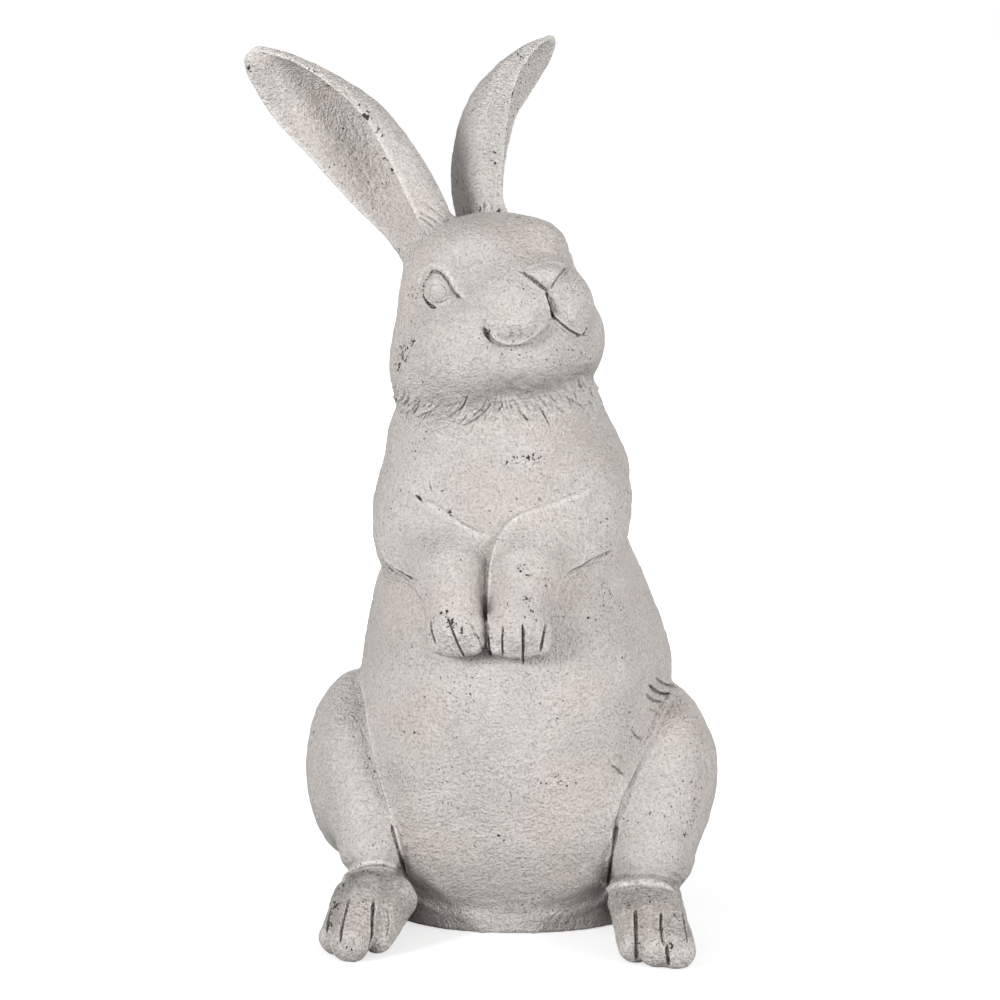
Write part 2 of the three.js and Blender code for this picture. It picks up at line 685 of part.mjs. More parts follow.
function footForm(side) {
  const instep = mirrored(INSTEP_PLACE, side);
  const heel = mirrored(HEEL_PLACE, side);
  const sole = limb(heel, instep, HEEL_RADIUS, INSTEP_RADIUS);
  const toes = [-1, 0, 1].map((step) => {
    const start = instep.clone().add(new THREE.Vector3(step * KNUCKLE_SPACING, 0, 0));
    const end = new THREE.Vector3(
      instep.x + step * TOE_SPACING + side * TOE_SPLAY,
      instep.y - TOE_REACH + Math.abs(step) * OUTER_TOE_BACK,
      TOE_RADIUS,
    );
    return limb(start, end, KNUCKLE_RADIUS, TOE_RADIUS);
  });
  const balls = [
    [heel, HEEL_RADIUS],
    [instep, INSTEP_RADIUS],
    [instep.clone().setY(instep.y - TOE_REACH), TOE_SPACING + TOE_SPLAY + TOE_RADIUS],
  ];
  return skin(melt(TOE_SOFTNESS, sole, ...toes), ...boxAround(balls, FOOT_FACET), FOOT_FACET);
}

// Tail

function tailForm() {
  const box = boxAround([[TAIL_PLACE, Math.max(...TAIL_RADII.toArray())]], TAIL_FACET);
  return skin(ball(TAIL_PLACE, TAIL_RADII), ...box, TAIL_FACET);
}

// Dowels across the seams, each given by its two ends

// How far the body reaches from its middle, in one direction, beside a place on the other axis
function bodyBeside(reach, place, otherReach) {
  return reach * (1 - (Math.abs(place) / otherReach) ** BODY_SQUARENESS) ** (1 / BODY_SQUARENESS);
}

// A dowel that leaves the body at a point of its surface, in the direction given
function bodyDowel(surface, direction) {
  return [
    surface.clone().addScaledVector(direction, -DOWEL_IN_BODY),
    surface.clone().addScaledVector(direction, DOWEL_IN_LIMB),
  ];
}

function forelegDowel(side) {
  const height = PAW_HEIGHT + WRIST_RISE * 0.85;
  const across = pawPlace(side).x;
  const aside = across - bodyReach(height, 'shift');
  const depth = bodyBeside(bodyReach(height, 'front'), aside, bodyReach(height, 'half'));
  return bodyDowel(new THREE.Vector3(across, -depth, height), new THREE.Vector3(0, -1, 0));
}

function hindLegDowel(side) {
  const { y, z } = THIGH_PLACE;
  const across = bodyBeside(bodyReach(z, 'half'), y, bodyReach(z, 'front'));
  const surface = new THREE.Vector3(bodyReach(z, 'shift') + side * across, y, z);
  return bodyDowel(surface, new THREE.Vector3(side, 0, 0));
}

function tailDowel() {
  const back = bodyReach(TAIL_PLACE.z, 'back');
  return bodyDowel(new THREE.Vector3(0, back, TAIL_PLACE.z), new THREE.Vector3(0, 1, 0));
}

function footDowel(side) {
  const seam = mirrored(ANKLE_PLACE, side);
  seam.z -= ANKLE_RADIUS;
  const half = new THREE.Vector3(0, 0, FOOT_DOWEL_LENGTH / 2);
  return [seam.clone().sub(half), seam.clone().add(half)];
}

// Assembly

const figurine = new THREE.Group();

// Draws the two ends of each very short edge together, where that keeps the body closed.
// Cuts between curved forms leave such edges, far below any real detail.
function withoutShortEdges(points, triangles) {
  let faces = triangles;
  let changed = true;
  while (changed) {
    changed = false;
    const around = points.map(() => []);
    faces.forEach((face) => face.forEach((vertex) => around[vertex].push(face)));
    const touched = new Set();
    const gone = new Set();
    for (const face of faces) {
      for (let i = 0; i < 3 && !gone.has(face); i += 1) {
        const [keep, drop] = [face[i], face[(i + 1) % 3]];
        if (points[keep].distanceTo(points[drop]) > SHORTEST_EDGE) continue;
        const near = new Set(around[keep].flat());
        const shared = new Set(around[drop].flat().filter((vertex) => near.has(vertex)));
        const all = new Set([...around[keep].flat(), ...around[drop].flat()]);
        if (shared.size !== 4 || [...all].some((vertex) => touched.has(vertex))) continue;
        all.forEach((vertex) => touched.add(vertex));
        for (const other of around[drop]) {
          if (other.includes(keep)) gone.add(other);
          else other[other.indexOf(drop)] = keep;
        }
        changed = true;
      }
    }
    faces = faces.filter((face) => !gone.has(face));
  }
  return faces;
}

function add(name, solid, finish) {
  const { vertProperties, triVerts, numProp } = solid.getMesh();
  const points = [];
  for (let i = 0; i < vertProperties.length; i += numProp) {
    points.push(new THREE.Vector3(vertProperties[i], vertProperties[i + 1], vertProperties[i + 2]));
  }
  const faces = [];
  for (let i = 0; i < triVerts.length; i += 3) faces.push([triVerts[i], triVerts[i + 1], triVerts[i + 2]]);
  const geometry = new THREE.BufferGeometry();
  geometry.setFromPoints(points);
  geometry.setIndex(withoutShortEdges(points, faces).flat());
  geometry.computeVertexNormals();
  const mesh = new THREE.Mesh(geometry, new THREE.MeshStandardMaterial(finish));
  mesh.name = name;
  figurine.add(mesh);
}

const headOuter = headForm(0);
const headGrown = headForm(BOND_GAP);
const forelegGrown = forelegForm(LEFT, BOND_GAP);

const pieces = { body_shell: bodyShell(), head: headOuter.subtract(bodyGrown) };

// Sets a dowel into two pieces: each gets its half of the hole
function addDowel(name, ends, diameter, firstPiece, secondPiece) {
  const hole = bore(ends[0], ends[1], diameter);
  pieces[firstPiece] = pieces[firstPiece].subtract(hole);
  pieces[secondPiece] = pieces[secondPiece].subtract(hole);
  pieces[name] = rod(ends[0], ends[1], diameter);
}

for (const [word, side] of [['left', LEFT], ['right', RIGHT]]) {
  pieces[`ear_${word}`] = earForm(side).subtract(headGrown);
  addDowel(`ear_rod_${word}`, earRodEnds(side), EAR_ROD_DIAMETER, `ear_${word}`, 'head');

  const foreleg = forelegForm(side, 0).subtract(bodyGrown);
  pieces[`foreleg_${word}`] = side === RIGHT ? foreleg.subtract(forelegGrown) : foreleg;
  addDowel(`foreleg_dowel_${word}`, forelegDowel(side), DOWEL_DIAMETER, `foreleg_${word}`, 'body_shell');

  const leg = hindLegForm(side, 0).subtract(bodyGrown).subtract(underFloor);
  const foot = footForm(side).subtract(hindLegForm(side, BOND_GAP)).subtract(bodyGrown);
  pieces[`hind_leg_${word}`] = leg;
  pieces[`hind_foot_${word}`] = foot.subtract(underFloor);
  addDowel(`hind_leg_dowel_${word}`, hindLegDowel(side), DOWEL_DIAMETER, `hind_leg_${word}`, 'body_shell');
  addDowel(`hind_foot_dowel_${word}`, footDowel(side), DOWEL_DIAMETER, `hind_foot_${word}`, `hind_leg_${word}`);
}

pieces.tail = tailForm().subtract(bodyGrown);
addDowel('tail_dowel', tailDowel(), DOWEL_DIAMETER, 'tail', 'body_shell');
pieces.base_plate = basePlate();

for (const [name, solid] of Object.entries(pieces)) {
  add(name, solid, name.includes('rod') ? DULL_STEEL : PALE_STONE);
}

export default figurine;
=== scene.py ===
import math

import bpy
import numpy as np
import openvdb
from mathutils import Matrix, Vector


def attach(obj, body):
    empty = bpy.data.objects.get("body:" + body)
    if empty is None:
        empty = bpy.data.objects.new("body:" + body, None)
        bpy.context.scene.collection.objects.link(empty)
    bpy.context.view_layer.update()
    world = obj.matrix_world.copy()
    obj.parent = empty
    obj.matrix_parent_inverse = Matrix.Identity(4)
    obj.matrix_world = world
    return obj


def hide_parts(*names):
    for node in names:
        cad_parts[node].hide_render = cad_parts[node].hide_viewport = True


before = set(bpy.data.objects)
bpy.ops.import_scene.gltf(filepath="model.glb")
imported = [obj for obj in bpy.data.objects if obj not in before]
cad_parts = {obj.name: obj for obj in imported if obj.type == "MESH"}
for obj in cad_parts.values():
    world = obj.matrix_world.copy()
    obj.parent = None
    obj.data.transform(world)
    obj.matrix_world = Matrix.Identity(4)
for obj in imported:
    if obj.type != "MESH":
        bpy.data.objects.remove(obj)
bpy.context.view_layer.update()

# Viewpoint: the figurine is seen from the front, a little to its left and a little above, through
# a long lens. The places of the carved lines are read along this line of sight.
# Sizes in this file are in millimetres, as in a modeller's workshop: meshes are made in metres.

MM = 0.001
PICTURE_WIDTH = 1000
SENSOR_WIDTH = 36.0
LENS = 124.16
VIEW_AZIMUTH = math.radians(2.0)
VIEW_ELEVATION = math.radians(8.0)
VIEW_DISTANCE = 1800.0
VIEW_AIM = np.array((-7.4, -17.27, 219.5))
VIEW_END_METRES = 50

view_right = np.array((math.cos(VIEW_AZIMUTH), math.sin(VIEW_AZIMUTH), 0))
view_forward = np.array((
    -math.sin(VIEW_AZIMUTH) * math.cos(VIEW_ELEVATION),
    math.cos(VIEW_AZIMUTH) * math.cos(VIEW_ELEVATION),
    -math.sin(VIEW_ELEVATION),
))
view_up = np.cross(view_right, view_forward)
view_point = VIEW_AIM - VIEW_DISTANCE * view_forward

camera_data = bpy.data.cameras.new("viewpoint")
camera_data.lens = LENS
camera_data.sensor_width = SENSOR_WIDTH
camera_data.clip_end = VIEW_END_METRES
camera = bpy.data.objects.new("viewpoint", camera_data)
bpy.context.scene.collection.objects.link(camera)
camera.location = Vector(view_point * MM)
camera.rotation_mode = "QUATERNION"
camera.rotation_quaternion = Vector(view_forward).to_track_quat("-Z", "Y")
bpy.context.scene.camera = camera


# Clay original, torso: the rabbit is modelled once in clay, and every mould is taken from that
# original, so all castings share one surface. The torso is a tall pear on a thin foot, given by
# cross-sections: height, half width, reach to the front and to the back, and shift to the left.

TORSO_SECTIONS = (
    (0, 66, 54, 56, 0),
    (9, 73, 63, 65, 0),
    (22, 81, 76, 76, 0),
    (58, 87.2, 90, 85, 0),
    (100, 82.8, 96, 84, -1.6),
    (138, 81.1, 95, 76, 1.1),
    (172, 72, 92, 64, -2),
    (206, 60, 84, 51, -2.5),
    (238, 63.9, 78, 38, -4.2),
    (264, 55.7, 75, 24, -7.9),
    (280, 46.6, 70, 12, -7.1),
    (290, 31.7, 60, 4, -8.4),
    (300, 10, 40, -10, -12),
)
TORSO_SQUARENESS = 2.3
TORSO_TOP = 294
TORSO_TOP_ROUNDING = 8
FOOT_HALF_WIDTH = 65.3
FOOT_FRONT = 65
FOOT_BACK = 62
FOOT_HEIGHT = 8.5
FOOT_ROUNDING = 7
FOOT_FILLET = 17


def smooth_table(sections, step):
    """Values between given stations, on a smooth curve through them, at every step."""
    stations = np.array(sections, float)
    keys = stations[:, 0]
    slopes = np.gradient(stations, keys, axis=0)
    at = np.arange(keys[0], keys[-1] + step / 2, step)
    low = np.clip(np.searchsorted(keys, at, side="right") - 1, 0, len(keys) - 2)
    span = (keys[low + 1] - keys[low])[:, None]
    part = (at - keys[low])[:, None] / span
    return (
        (2 * part**3 - 3 * part**2 + 1) * stations[low]
        + (part**3 - 2 * part**2 + part) * span * slopes[low]
        + (3 * part**2 - 2 * part**3) * stations[low + 1]
        + (part**3 - part**2) * span * slopes[low + 1]
    )


def melt(softness, *fields):
    """Joins forms, each given by its distance field, with a fillet where they meet."""
    joined = fields[0]
    for field in fields[1:]:
        share = np.maximum(softness - np.abs(joined - field), 0) / softness
        joined = np.minimum(joined, field) - share * share * softness / 4
    return joined


def oval_ring(p, half, front, back, shift):
    """Distance in the level plane to an oval ring, square-shouldered as the torso is."""
    across = p[:, 0] - shift
    reach = np.where(p[:, 1] < 0, front, back)
    power = TORSO_SQUARENESS
    share = (np.abs(across / half) ** power + np.abs(p[:, 1] / reach) ** power) ** (1 / power)
    radius = np.hypot(across, p[:, 1]) + 1e-6
    return radius - radius / (share + 1e-9)


torso_table = smooth_table(TORSO_SECTIONS, 1.0)


def torso_form(p):
    heights = torso_table[:, 0]
    half, front, back, shift = (
        np.interp(p[:, 2], heights, torso_table[:, column]) for column in (1, 2, 3, 4)
    )
    lean = np.interp(p[:, 2], heights, np.gradient(torso_table[:, 1] + torso_table[:, 2]) / 2)
    side = oval_ring(p, half, front, np.maximum(back, 2.0), shift)
    side = side / np.sqrt(1 + np.minimum(lean * lean, 4))
    side = -melt(TORSO_TOP_ROUNDING, -side, TORSO_TOP - p[:, 2])
    foot = oval_ring(p, FOOT_HALF_WIDTH, FOOT_FRONT, FOOT_BACK, 0)
    foot = -melt(FOOT_ROUNDING, -foot, FOOT_HEIGHT - p[:, 2])
    return melt(FOOT_FILLET, side, foot)


# Clay original, head: a round skull with full cheeks, a broad muzzle with two hanging lips, a
# small three-cornered nose and bulging eyes. It is turned to the rabbit's left, raised and tilted.
# In the head's own frame -y is towards the nose, +z the top of the skull, +x the rabbit's left.

HEAD_CENTRE = np.array((-13.4, -33, 314.5))
HEAD_YAW = math.radians(33)
HEAD_PITCH = math.radians(-18)
HEAD_ROLL = math.radians(-3)
HEAD_REACH = 88
SKULL_PLACE, SKULL_RADII = (0, -2.6, 10.2), (43.7, 47.3, 45.2)
CHEEK_PLACE, CHEEK_RADII = (27.9, -3.4, -16.8), (26.7, 43.6, 28.2)
BROW_PLACE, BROW_RADII = (17.7, -25.8, 29.8), (16.3, 20.3, 11.8)
BRIDGE_START, BRIDGE_END = (0, -20, 4), (0, -46, 3)
BRIDGE_START_RADIUS, BRIDGE_END_RADIUS = 28, 15
LIP_PLACE, LIP_RADII = (13.7, -43.9, -4.5), (19.5, 20.4, 20.3)
NOSE_PLACE, NOSE_RADII = (0, -58, 7.5), (9.5, 7, 6.5)
CHIN_PLACE, CHIN_RADII = (0, -31.6, -21.3), (26, 23.9, 21.9)
EYE_PLACE, EYE_RADIUS = (33.6, -20.5, 15.2), 10.2
SKULL_FILLET = 16
MOUTH_HEIGHT, MOUTH_FADE = -6, 6
LIP_CLEFT, LIP_FILLET_BELOW, LIP_FILLET_ABOVE = 2.5, 4, 12
NOSE_FILLET = 5


def turn(axis, angle):
    """Matrix of a turn about one of the three axes."""
    c, s = math.cos(angle), math.sin(angle)
    i, j = [(1, 2), (2, 0), (0, 1)][axis]
    matrix = np.eye(3)
    matrix[i, i], matrix[i, j], matrix[j, i], matrix[j, j] = c, -s, s, c
    return matrix


head_turn = turn(2, HEAD_YAW) @ turn(0, HEAD_PITCH) @ turn(1, HEAD_ROLL)


def in_head(p):
    return (p - HEAD_CENTRE) @ head_turn


def from_head(local):
    return np.asarray(local, float) @ head_turn.T + HEAD_CENTRE


def ball(p, place, radii):
    """Distance to an egg shape, given by its centre and its three radii."""
    local = (p - np.array(place, float)) / radii
    reach = np.sqrt((local**2).sum(1)) + 1e-9
    slope = np.sqrt(((local / radii) ** 2).sum(1)) + 1e-9
    return reach * (reach - 1) / slope


def limb(p, start, end, start_radius, end_radius):
    """Distance to a tapered rod with round ends."""
    start = np.array(start, float)
    axis = np.array(end, float) - start
    length = np.linalg.norm(axis)
    axis /= length
    taper = (start_radius - end_radius) / length
    lean = math.sqrt(1 - taper * taper)
    local = p - start
    along = local @ axis
    out = np.sqrt(np.maximum((local**2).sum(1) - along**2, 0))
    side = lean * along - taper * out
    rod = out * lean + along * taper - start_radius
    rod = np.where(side < 0, np.hypot(out, along) - start_radius, rod)
    return np.where(side > lean * length, np.hypot(out, along - length) - end_radius, rod)


def other_side(place):
    return (-place[0], place[1], place[2])


def head_form(p):
    q = in_head(p)
    pairs = {
        name: [ball(q, at, radii) for at in (place, other_side(place))]
        for name, place, radii in (
            ("cheeks", CHEEK_PLACE, CHEEK_RADII),
            ("brows", BROW_PLACE, BROW_RADII),
            ("lips", LIP_PLACE, LIP_RADII),
            ("eyes", EYE_PLACE, (EYE_RADIUS,) * 3),
        )
    }
    bridge = limb(q, BRIDGE_START, BRIDGE_END, BRIDGE_START_RADIUS, BRIDGE_END_RADIUS)
    chin = ball(q, CHIN_PLACE, CHIN_RADII)
    skull = ball(q, SKULL_PLACE, SKULL_RADII)
    mass = melt(SKULL_FILLET, skull, bridge, chin, *pairs["cheeks"], *pairs["brows"])
    above_mouth = 1 / (1 + np.exp(-(q[:, 2] - MOUTH_HEIGHT) / MOUTH_FADE))
    lips = melt(LIP_CLEFT, *pairs["lips"])
    lip_fillet = LIP_FILLET_BELOW + (LIP_FILLET_ABOVE - LIP_FILLET_BELOW) * above_mouth
    mouth = melt(lip_fillet, mass, lips)
    return melt(NOSE_FILLET, mouth, ball(q, NOSE_PLACE, NOSE_RADII), *pairs["eyes"])


# Clay original, ears: two long scoops that lean outward and bow back. The hollow faces forward and
# outward. Its outer edge is thin, and its inner edge is a broad rounded roll.

LEFT, RIGHT = 1, -1
EAR_LENGTH = 139.3
EAR_BELOW_ROOT, EAR_TIP = -0.2, 1.01
EAR_EDGE = -0.94
EAR_RIM_ROUNDING, EAR_END_ROUNDING = 2.2, 2
HOLLOW_SCALE, HOLLOW_ROUNDNESS = 1.9, 0.85
EARS = {
    RIGHT: {
        "root": (-22.6, 10, 35),
        "direction": (-0.478, 0.116, 0.811),
        "opening": (-0.86, -0.5, -0.3),
        "profile": (
            # share of the length from below the root (0) to the tip (1), half width, half depth,
            # depth of the hollow, sway towards the roll, bow away from the hollow, start of the roll
            (-0.2, 15, 13, 0, 0, -16.3, 0.4),
            (0, 17, 14.6, 0, 6.5, 0.7, 0.38),
            (0.16, 19.5, 16, 10, 7, 10.4, 0.44),
            (0.34, 23.1, 17.9, 24, 6.5, 15.7, 0.6),
            (0.54, 23.9, 18.8, 30, 6.6, 16.7, 0.78),
            (0.74, 20.7, 15.2, 24, 4.9, 11.6, 0.87),
            (0.89, 14.5, 10.2, 12, 4, 5.8, 0.9),
            (0.97, 9.4, 6, 3, 4, 1.9, 0.85),
            (1.02, 4.6, 2, 0, 4.6, -0.9, 0.8),
        ),
    },
    LEFT: {
        "root": (22.7, 10, 35.9),
        "direction": (0.467, 0.145, 0.783),
        "opening": (0.79, -0.59, -0.3),
        "profile": (
            (-0.2, 15, 13, 0, 0, -16.3, 0.8),
            (0, 19.1, 17, 0, 1.1, 0.3, 0.85),
            (0.16, 19.9, 19.1, 10, 2.3, 9.6, 0.88),
            (0.34, 21, 19.7, 24, 1.9, 15.5, 0.83),
            (0.54, 23, 18.2, 30, 2.2, 17.8, 0.8),
            (0.74, 19.7, 14.6, 24, 1.8, 14.5, 0.83),
            (0.89, 14.9, 10.2, 12, 0.4, 5.8, 0.88),
            (0.97, 9.9, 5.4, 3, 0.1, -0.2, 0.88),
            (1.02, 3.6, 2, 0, 1.3, -4.2, 0.85),
        ),
    },
}

ear_tables = {side: smooth_table(EARS[side]["profile"], 0.01) for side in EARS}


def ear_frame(side):
    """Root, and the directions along the ear, out of its hollow and towards its roll."""
    ear = EARS[side]
    along = head_turn @ ear["direction"]
    along /= np.linalg.norm(along)
    opening = head_turn @ ear["opening"]
    opening -= along * (opening @ along)
    opening /= np.linalg.norm(opening)
    return from_head(ear["root"]), along, opening, side * np.cross(opening, along)


def ear_floor(share, depth, hollow, roll):
    """Height of the ear's front face: it falls from the thin edge and rises steeply to the roll."""
    inside = np.clip((share - EAR_EDGE) / (roll - EAR_EDGE), 0, 1)
    sunk = hollow * (HOLLOW_SCALE * inside * (1 - inside**4)) ** HOLLOW_ROUNDNESS
    return depth * np.sqrt(np.maximum(1 - share**2, 0)) - sunk


def ear_form(p, side):
    """Distance to an ear: an oval rod that bows and sways, cut open by the ear's front face."""
    root, along, opening, across = ear_frame(side)
    table = ear_tables[side]
    local = p - root
    part = local @ along / EAR_LENGTH
    held = np.clip(part, table[0, 0], table[-1, 0])
    width, depth, hollow, sway, bow, roll = (
        np.interp(held, table[:, 0], table[:, column]) for column in range(1, 7)
    )
    x = local @ across - sway
    y = local @ opening + bow
    share = x / width
    reach = np.sqrt(share**2 + (y / depth) ** 2) + 1e-9
    slope = np.sqrt((share / width) ** 2 + (y / depth**2) ** 2) + 1e-9
    outside = reach * (reach - 1) / slope
    floor = ear_floor(np.clip(share, -1, 1), depth, hollow, roll)
    face = y - floor
    beside = 0.01
    rise = (ear_floor(np.clip(share + beside, -1, 1), depth, hollow, roll) - floor) / (beside * width)
    face = face / np.sqrt(1 + np.minimum(rise**2, 9))
    cup = -melt(EAR_RIM_ROUNDING, -outside, -face)
    ends = np.maximum(part - EAR_TIP, EAR_BELOW_ROOT - part) * EAR_LENGTH
    return -melt(EAR_END_ROUNDING, -cup, -ends)


# Clay original, forelegs: short upper arms held against the chest, forearms that meet on it, and
# paws that hang side by side, the rabbit's left one a little lower.

ARM_FILLET, TOE_FILLET = 10, 3
TOE_START_RADIUS, TOE_END_RADIUS = 7.5, 6.2
FORELEGS = {
    RIGHT: {
        "shoulder": ((-41.9, -37, 217.3), 30.1),
        "elbow": ((-47.7, -48, 204.2), 21),
        "wrist": ((-30, -84, 191), 15.5),
        "paw": ((-26.5, -97, 168), 14.5),
        "toes": (-7.5, -2.5, 2.5, 7.5),
    },
    LEFT: {
        "shoulder": ((33, -37, 218.5), 26.7),
        "elbow": ((34.3, -48, 202.2), 17.6),
        "wrist": ((8, -84, 192), 15.5),
        "paw": ((5, -97, 167), 15),
        "toes": (-9, -3, 3, 9),
    },
}


def foreleg_form(p, side):
    """Distance to a foreleg: upper arm, forearm and paw, with four toes that hang from it."""
    leg = FORELEGS[side]
    shoulder, shoulder_radius = leg["shoulder"]
    elbow, elbow_radius = leg["elbow"]
    wrist, wrist_radius = leg["wrist"]
    paw, paw_radius = leg["paw"]
    paw = np.array(paw, float)
    toes = [
        limb(
            p, paw + (step, -3, -2), paw + (step * 1.1, -3.5, abs(step) * 0.3 - 11),
            TOE_START_RADIUS, TOE_END_RADIUS,
        )
        for step in leg["toes"]
    ]
    arm = melt(
        ARM_FILLET,
        limb(p, shoulder, elbow, shoulder_radius, elbow_radius),
        limb(p, elbow, wrist, elbow_radius, wrist_radius),
        limb(p, wrist, paw, wrist_radius, paw_radius),
    )
    return melt(TOE_FILLET, arm, *toes)


# Clay original, hind legs: round haunches that bulge from the flanks and run down into short
# shanks over the feet.

HAUNCH_FILLET = 20
HIND_LEGS = {
    RIGHT: {
        "thigh": ((-81.4, -5.9, 75.8), (29.1, 53.1, 50.6)),
        "shank_top": ((-75.5, -36, 81.2), 22.8),
        "ankle": ((-71.8, -70, 44.7), 16.3),
    },
    LEFT: {
        "thigh": ((77.5, -6.7, 71.3), (27.5, 56.2, 50.4)),
        "shank_top": ((74.5, -34, 83.4), 27.8),
        "ankle": ((72.4, -70, 44.3), 22),
    },
}


def hind_leg_form(p, side):
    leg = HIND_LEGS[side]
    (top, top_radius), (ankle, ankle_radius) = leg["shank_top"], leg["ankle"]
    return melt(HAUNCH_FILLET, ball(p, *leg["thigh"]), limb(p, top, ankle, top_radius, ankle_radius))


# Clay original, hind feet: long feet flat on the ground, with three toes that show. The rabbit's
# right foot is turned outward. Each toe has its knuckle and its tip, with their radii.

INSTEP_FILLET, HIND_TOE_FILLET = 7, 2.5
HIND_FEET = {
    RIGHT: {
        "heel": ((-69.7, -26, 14), 17.7),
        "instep": ((-70.1, -78, 21.6), 17.3),
        "toes": (
            ((-80.5, -89, 25), 9.4, (-86.7, -108.1, 9), 8.9),
            ((-72, -92, 26), 11.5, (-79, -119, 9), 9.9),
            ((-59, -89, 23), 11.7, (-65.9, -109.3, 8.5), 7.4),
        ),
    },
    LEFT: {
        "heel": ((69.5, -26, 14), 17.5),
        "instep": ((69, -78, 22.7), 17.4),
        "toes": (
            ((60.7, -88, 24), 10.8, (63.9, -117.5, 8.5), 8.6),
            ((71, -91, 26), 11.5, (74.5, -124.6, 9), 9.5),
            ((76.9, -89, 25), 10.2, (84, -125.8, 9), 10.2),
        ),
    },
}


def hind_foot_form(p, side):
    foot = HIND_FEET[side]
    (heel, heel_radius), (instep, instep_radius) = foot["heel"], foot["instep"]
    toes = [limb(p, knuckle, tip, wide, narrow) for knuckle, wide, tip, narrow in foot["toes"]]
    sole = limb(p, heel, instep, heel_radius, instep_radius)
    return melt(INSTEP_FILLET, sole, melt(HIND_TOE_FILLET, *toes))


# Clay original, tail: a round tuft low on the back, half sunk in the body. It isn't seen from the
# viewpoint.

TAIL_PLACE, TAIL_RADII = (0, 84, 34), (21, 19, 23)


def tail_form(p):
    return ball(p, TAIL_PLACE, TAIL_RADII)


# Clay original, whole: the forms are pressed together, with a soft joint where the flesh is full
# and a tight crease where one part lies against another. Below the ground there is nothing.

FAR_AWAY = 40.0
NECK_FILLET = 18
EAR_FILLET = 5
PAWS_MIDDLE, PAWS_HALF_WIDTH, PAWS_TOP, PAWS_FADE = -11, 32, 166, 16
WRIST_FADE, FOREARM_TOP = 30, 197
BETWEEN_PAWS, BETWEEN_FOREARMS = 1.5, 9.5
ARM_CREASE, SHOULDER_FILLET = 5, 16
HAUNCH_CREASE = 3.5
ANKLE_FILLET = 3
TAIL_FILLET = 4
GROUND_EDGE = 1.5
FORM_BOXES = {
    "torso": (torso_form, (-110, -120, -20), (110, 115, 330)),
    "head": (head_form, tuple(HEAD_CENTRE - HEAD_REACH), tuple(HEAD_CENTRE + HEAD_REACH)),
    "tail": (tail_form, (-50, 40, -20), (50, 130, 85)),
    "ear_left": (lambda p: ear_form(p, LEFT), (-60, -50, 300), (60, 110, 490)),
    "ear_right": (lambda p: ear_form(p, RIGHT), (-165, -70, 300), (0, 50, 490)),
    "foreleg_left": (lambda p: foreleg_form(p, LEFT), (-40, -145, 120), (95, 20, 275)),
    "foreleg_right": (lambda p: foreleg_form(p, RIGHT), (-110, -145, 120), (15, 20, 275)),
    "hind_leg_left": (lambda p: hind_leg_form(p, LEFT), (20, -125, -10), (135, 80, 160)),
    "hind_leg_right": (lambda p: hind_leg_form(p, RIGHT), (-135, -125, -10), (-20, 80, 160)),
    "hind_foot_left": (lambda p: hind_foot_form(p, LEFT), (20, -165, -20), (120, 20, 75)),
    "hind_foot_right": (lambda p: hind_foot_form(p, RIGHT), (-120, -165, -20), (-20, 20, 75)),
}


def form(name, p):
    """Distance to one form, worked out only inside its box."""
    rule, low, high = FORM_BOXES[name]
    field = np.full(len(p), FAR_AWAY)
    near = ((p > low) & (p < high)).all(1)
    if near.any():
        field[near] = rule(p[near])
    return field


def figure(p):
    """Distance field of the whole original: below zero inside."""
    torso = form("torso", p)
    whole = melt(NECK_FILLET, torso, form("head", p))
    whole = melt(EAR_FILLET, whole, form("ear_left", p), form("ear_right", p))
    beside_paws = (np.abs(p[:, 0] - PAWS_MIDDLE) - PAWS_HALF_WIDTH) / WRIST_FADE
    outer = np.clip(np.maximum(beside_paws, (p[:, 2] - FOREARM_TOP) / PAWS_FADE), 0, 1)
    outer = outer * outer * (3 - 2 * outer)
    above_paws = np.clip((p[:, 2] - PAWS_TOP) / PAWS_FADE, 0, 1)
    between = BETWEEN_PAWS + (BETWEEN_FOREARMS - BETWEEN_PAWS) * above_paws
    arms = melt(between, form("foreleg_left", p), form("foreleg_right", p))
    whole = melt(ARM_CREASE + (SHOULDER_FILLET - ARM_CREASE) * outer, whole, arms)
    whole = melt(HAUNCH_CREASE, whole, form("hind_leg_left", p), form("hind_leg_right", p))
    feet = np.minimum(form("hind_foot_left", p), form("hind_foot_right", p))
    whole = melt(TAIL_FILLET, melt(ANKLE_FILLET, whole, feet), form("tail", p))
    return -melt(GROUND_EDGE, -whole, p[:, 2])


def surface_at(p):
    """Distance and outward direction at each point, from four samples round it."""
    apart = 0.15
    corners = np.array(((1, 1, 1), (1, -1, -1), (-1, 1, -1), (-1, -1, 1)), float) * apart
    fields = np.stack([figure(p + corner) for corner in corners], 1)
    slope = fields @ corners / (4 * apart**2)
    steep = np.maximum(np.linalg.norm(slope, axis=1), 0.2)
    return fields.mean(1) / steep, slope / steep[:, None]


def onto_surface(p, passes=2, reach=1.0):
    """Points led to the surface in a few passes, and the outward direction there."""
    for _ in range(passes):
        distance, outward = surface_at(p)
        p = p - outward * np.clip(distance, -reach, reach)[:, None]
    return p, surface_at(p)[1]


# Whole original in the rough: its distance field once more, on a net of cubes, for the places
# where a near value will do, such as how deep a place lies among its neighbours.

ROUGH_STEP = 2.0
rough_low = np.array((-150.0, -150.0, -20.0))
rough_count = ((np.array((135.0, 120.0, 490.0)) - rough_low) / ROUGH_STEP).astype(int) + 1
rough_steps = np.stack(np.meshgrid(*map(np.arange, rough_count), indexing="ij"), -1)
rough_field = np.stack([
    figure(layer.reshape(-1, 3)).reshape(rough_count[1:]) for layer in rough_low + ROUGH_STEP * rough_steps
])


